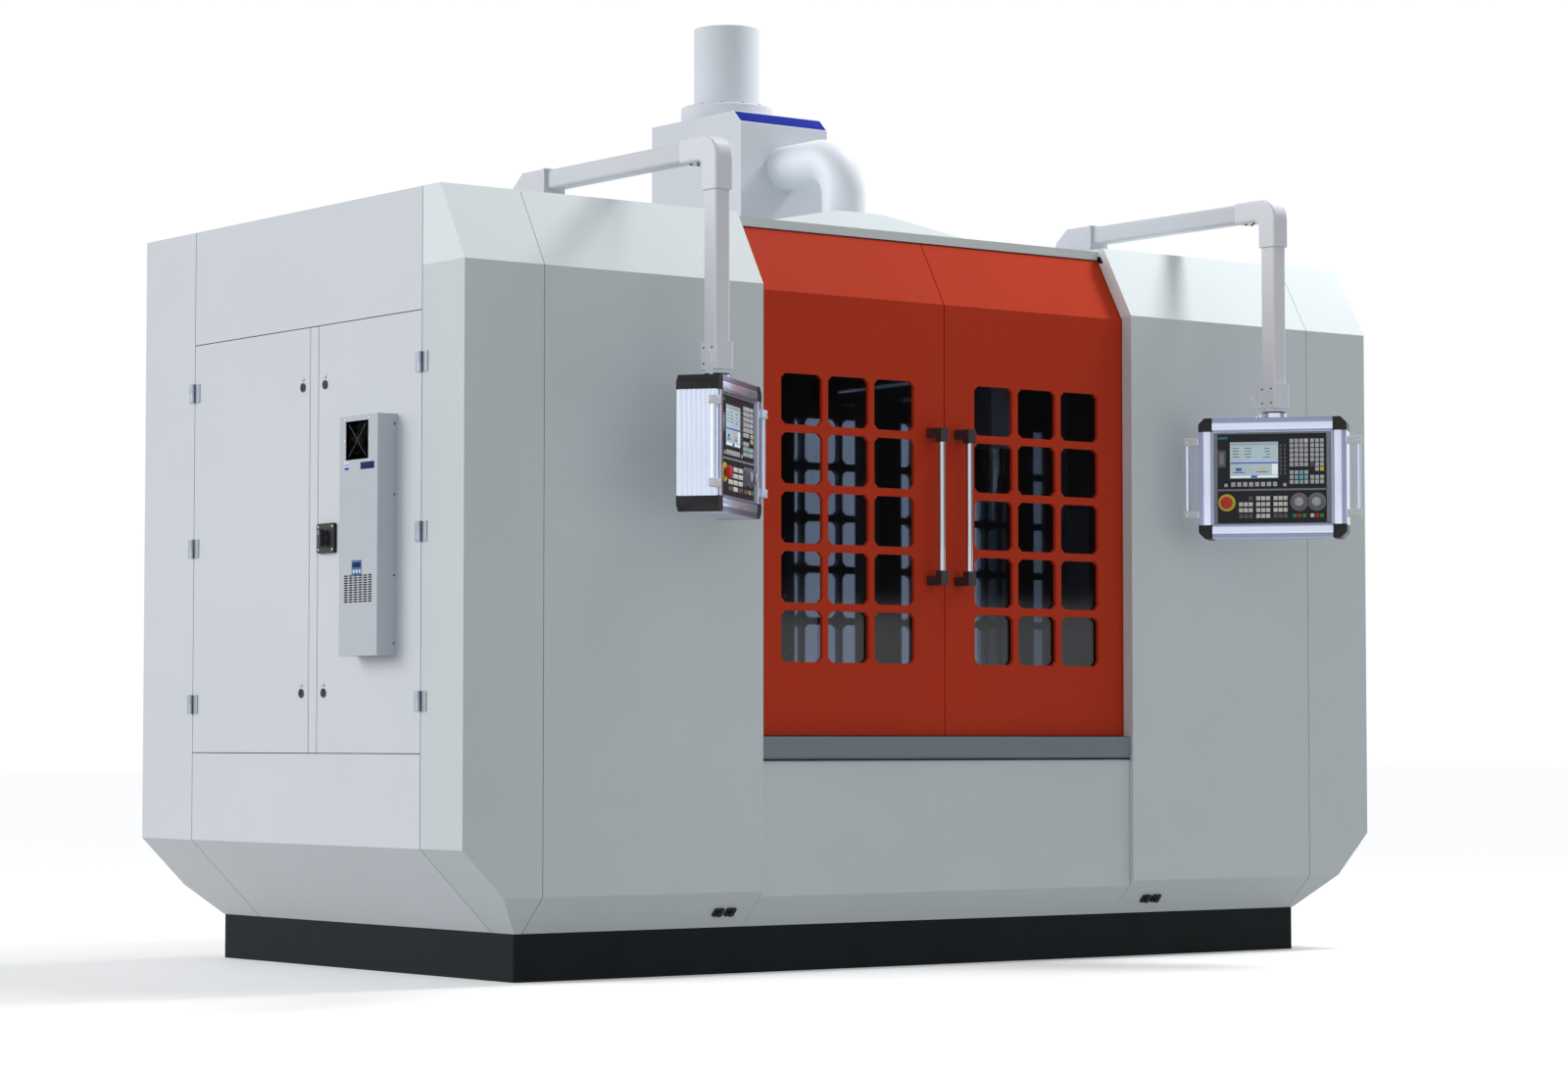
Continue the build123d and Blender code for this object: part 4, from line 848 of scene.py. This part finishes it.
def cabinet_details():
    """Labels and screws of the cooling unit, its fan guard, and the isolator's marks."""
    low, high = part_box("cooling_unit")
    skin = low.x
    trim = Piece("cooling_trim", "cabinet_front")

    def label(y0, y1, z0, z1, look, rise=0.5):
        trim.box((skin - rise * MM, skin + 0.0005), span(y0, y1), span(z0, z1), look, 0.15 * MM)

    def badge(width, height, look, rise, start, end):
        outline = []
        for i in range(25):
            angle = math.radians(start + (end - start) * i / 24)
            outline.append(((-506 + width * math.cos(angle)) * MM, (1784 + height * math.sin(angle)) * MM))
        trim.prism(outline, skin - rise * MM, skin + 0.3 * MM, look, 0, "x")

    badge(20.5, 15.5, "sticker_white", 0.5, 0, 345)
    badge(18.5, 14, "sticker_blue", 0.9, 195, 345)
    label(-522, -490, 1787, 1790, "sticker_blue", 0.8)
    label(-689, -598, 1770, 1795, "sticker_navy")
    label(-608, -542, 1402, 1455, "sticker_steel")
    for i in range(3):
        label(-603 + i * 20, -590 + i * 20, 1410, 1422, "sticker_white", 0.8)
    label(-602, -548, 1430, 1447, "sticker_navy", 0.8)
    for y in (-655, -491):
        for z in (1800, 1873, 1947):
            trim.disc((skin + 0.0005, y * MM, z * MM), (-1, 0, 0), 4 * MM, 1.6 * MM, "zinc", 0.6 * MM, sides=18)
    for y in (low.y + 0.0005, high.y - 0.0005):
        outward = -1 if y < (low.y + high.y) / 2 else 1
        for z in (1165, 1400, 1680, 1925):
            trim.disc((high.x - 0.012, y, z * MM), (0, outward, 0), 4 * MM, 1.6 * MM, "dark_key", 0.6 * MM, sides=18)
    trim.done()

    guard = Piece("fan_guard", "cabinet_front")
    centre = Vector(joints["fan_spin"]["pos_m"])
    for radius in (22, 46):
        guard.ring((skin + 0.003, centre.y, centre.z), (-1, 0, 0), (radius - 1) * MM, (radius + 1) * MM, 2.2 * MM,
                   "deep_black", 48)
    for turn in (45, 135):
        direction = Vector((0, math.cos(math.radians(turn)), math.sin(math.radians(turn))))
        side_way = Vector((0, -direction.z, direction.y)) * 1.3 * MM
        ends = [centre + direction * 80 * MM, centre - direction * 80 * MM]
        outline = [(p.y + s * side_way.y, p.z + s * side_way.z) for p, s in
                   ((ends[0], 1), (ends[1], 1), (ends[1], -1), (ends[0], -1))]
        guard.prism(outline, skin + 0.0012, skin + 0.0032, "handle_black", 0.3 * MM, "x")
    guard.done()

    low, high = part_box("isolator_plate")
    switch = Piece("isolator_marks", "cabinet_front")
    switch.box((low.x - 0.0006, low.x + 0.001), (high.y - 0.017, high.y - 0.007), (low.z + 0.045, low.z + 0.066),
               "green", 0.0003)
    for y in (low.y + 0.012, high.y - 0.012):
        for z in (low.z + 0.012, high.z - 0.012):
            switch.disc((low.x + 0.0002, y, z), (-1, 0, 0), 0.004, 0.0012, "zinc", 0.0004, sides=18)
    switch.done()
    low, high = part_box("isolator_handle")
    mark = Piece("isolator_pointer", "isolator")
    y = (low.y + high.y) / 2
    mark.box((low.x - 0.0005, low.x + 0.001), (y - 0.0015, y + 0.0015), (high.z - 0.022, high.z - 0.006), "white_key",
             0.0003)
    mark.done()


cabinet_details()


REAR_POSTS, REAR_POST_Z = ((540, 642), (1800, 1955), (2017, 2090)), (900, 2420)


def rear_posts():
    """Dark cover posts in front of the rear windows, seen through the doors as black gaps."""
    posts = Piece("rear_cover_posts", "machine")
    wall_low, wall_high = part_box("rear_window_wall")
    y = (wall_low.y - 0.024, wall_low.y - 0.001)
    for x0, x1 in REAR_POSTS:
        posts.box(span(x0, x1), y, span(*REAR_POST_Z), "gantry", 3 * MM)
        for z in range(950, 2400, 240):
            posts.disc(Vector(((x0 + x1) / 2, 0, z)) * MM + Vector((0, y[0], 0)), (0, -1, 0), 6 * MM, 3 * MM, "zinc",
                       1 * MM, sides=6)
    posts.done()


def lock_inserts():
    """Bright key inserts with a slot, on the turning barrels of the cabinet locks."""
    for row in LOCK_ROWS:
        low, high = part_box("cabinet_lock_" + row)
        middle = (low + high) / 2
        insert = Piece(row + "_insert", "lock_" + row)
        insert.disc(Vector((low.x + 0.0006, middle.y, middle.z)), (-1, 0, 0), 6 * MM, 1.4 * MM, "zinc", 0.4 * MM,
                    sides=24)
        # the key slot is a near-black strip: painted shade for the recess
        insert.box((low.x - 0.0011, low.x - 0.0004), (middle.y - 0.001, middle.y + 0.001),
                   (middle.z - 0.004, middle.z + 0.004), "deep_black")
        insert.done()


rear_posts()
lock_inserts()


# ---------------------------------------------------------------- floor, light and camera
def make_floor():
    material, tree, shader = new_material("floor_pale")
    vector = object_coordinates(tree)
    clouds = noise(tree, vector, 0.6, 3.0)
    base = colour_ramp(tree, clouds, [(0.3, (0.90, 0.905, 0.91)), (0.7, (0.93, 0.93, 0.935))])
    tree.links.new(base, shader.inputs["Base Color"])
    shader.inputs["Roughness"].default_value = 0.7
    shader.inputs["Specular IOR Level"].default_value = 0.1
    tree.links.new(base, shader.inputs["Emission Color"])
    shader.inputs["Emission Strength"].default_value = 0.16
    mesh = bpy.data.meshes.new("floor")
    reach = 80.0
    corners = [(-reach, -reach, 0), (reach, -reach, 0), (reach, reach, 0), (-reach, reach, 0)]
    mesh.from_pydata(corners, [], [(0, 1, 2, 3)])
    mesh.materials.append(material)
    floor = bpy.data.objects.new("floor", mesh)
    scene.collection.objects.link(floor)
    floor.visible_diffuse = False


def make_world():
    """White studio: bright low walls behind and to the left, a pale floor below, a dimmer ceiling and front."""
    world = bpy.data.worlds.new("studio")
    scene.world = world
    world.use_nodes = True
    tree = world.node_tree
    background = tree.nodes["Background"]
    coordinates = tree.nodes.new("ShaderNodeTexCoord")

    def gradient(direction, low, high, dim, bright):
        dot = tree.nodes.new("ShaderNodeVectorMath")
        dot.operation = "DOT_PRODUCT"
        dot.inputs[1].default_value = Vector(direction).normalized()
        tree.links.new(coordinates.outputs["Generated"], dot.inputs[0])
        node = tree.nodes.new("ShaderNodeMapRange")
        node.interpolation_type = "SMOOTHSTEP"
        for name, value in (("From Min", low), ("From Max", high), ("To Min", dim), ("To Max", bright)):
            node.inputs[name].default_value = value
        tree.links.new(dot.outputs["Value"], node.inputs["Value"])
        return node.outputs["Result"]

    up = (0, 0, 1)
    walls = gradient((-0.45, 0.75, 0), -0.6, 0.15, 0.92, 1.02)
    ceiling = gradient(up, 0.27, 0.9, 1.0, 0.32)
    ground = gradient(up, -0.03, -0.005, 0.67, 1.0)
    above_floor = gradient(up, -0.03, -0.005, 0.0, 1.0)
    left_shade = gradient((-1, 0, 0), 0.0, 0.6, 1.0, 0.55)
    ground = calculate(tree, "MULTIPLY", ground, calculate(tree, "MAXIMUM", above_floor, left_shade))
    dark_front = gradient((0.6, -0.79, 0.12), 0.86, 0.96, 1.0, 0.04)
    low_wall = gradient(up, 0.028, 0.038, 1.0, 0.0)
    strength = calculate(tree, "MULTIPLY", calculate(tree, "MULTIPLY", walls, ceiling), ground)
    strength = calculate(tree, "MULTIPLY", strength, calculate(tree, "MAXIMUM", dark_front, low_wall))
    tree.links.new(strength, background.inputs["Strength"])
    background.inputs["Color"].default_value = (0.985, 0.99, 1.0, 1)


def area_light(name, place, target, size, power, colour=(1, 1, 1)):
    light = bpy.data.lights.new(name, "AREA")
    light.shape = "DISK"
    light.size = size
    light.energy = power
    light.color = colour
    lamp = bpy.data.objects.new(name, light)
    lamp.location = place
    direction = Vector(target) - Vector(place)
    lamp.rotation_euler = direction.to_track_quat("-Z", "Y").to_euler()
    scene.collection.objects.link(lamp)
    lamp.visible_camera = False
    lamp.visible_glossy = False


def sun_light(name, toward, strength, spread):
    """Even light from one side of the sky. Spread is its width in degrees."""
    light = bpy.data.lights.new(name, "SUN")
    light.energy = strength
    light.angle = math.radians(spread)
    lamp = bpy.data.objects.new(name, light)
    lamp.rotation_euler = (-Vector(toward)).to_track_quat("-Z", "Y").to_euler()
    scene.collection.objects.link(lamp)


def make_camera():
    camera = bpy.data.cameras.new("camera")
    camera.sensor_width = 36
    camera.lens = 90.97
    view = bpy.data.objects.new("camera", camera)
    view.location = (-9.3688, -12.4153, 0.8311)
    view.rotation_euler = Euler([math.radians(angle) for angle in (92.977, 0, -37.25)])
    scene.collection.objects.link(view)
    scene.camera = view


make_floor()
make_world()
area_light("key", (3.8, -1.2, 7.4), (0.4, -0.9, 2.6), 1.6, 320)
sun_light("sky_glow", (0.5, -0.04, 0.86), 0.8, 25)
sun_light("left_glow", (-0.75, 0.5, 0.35), 1.3, 40)
make_camera()
scene.view_settings.view_transform = "Standard"
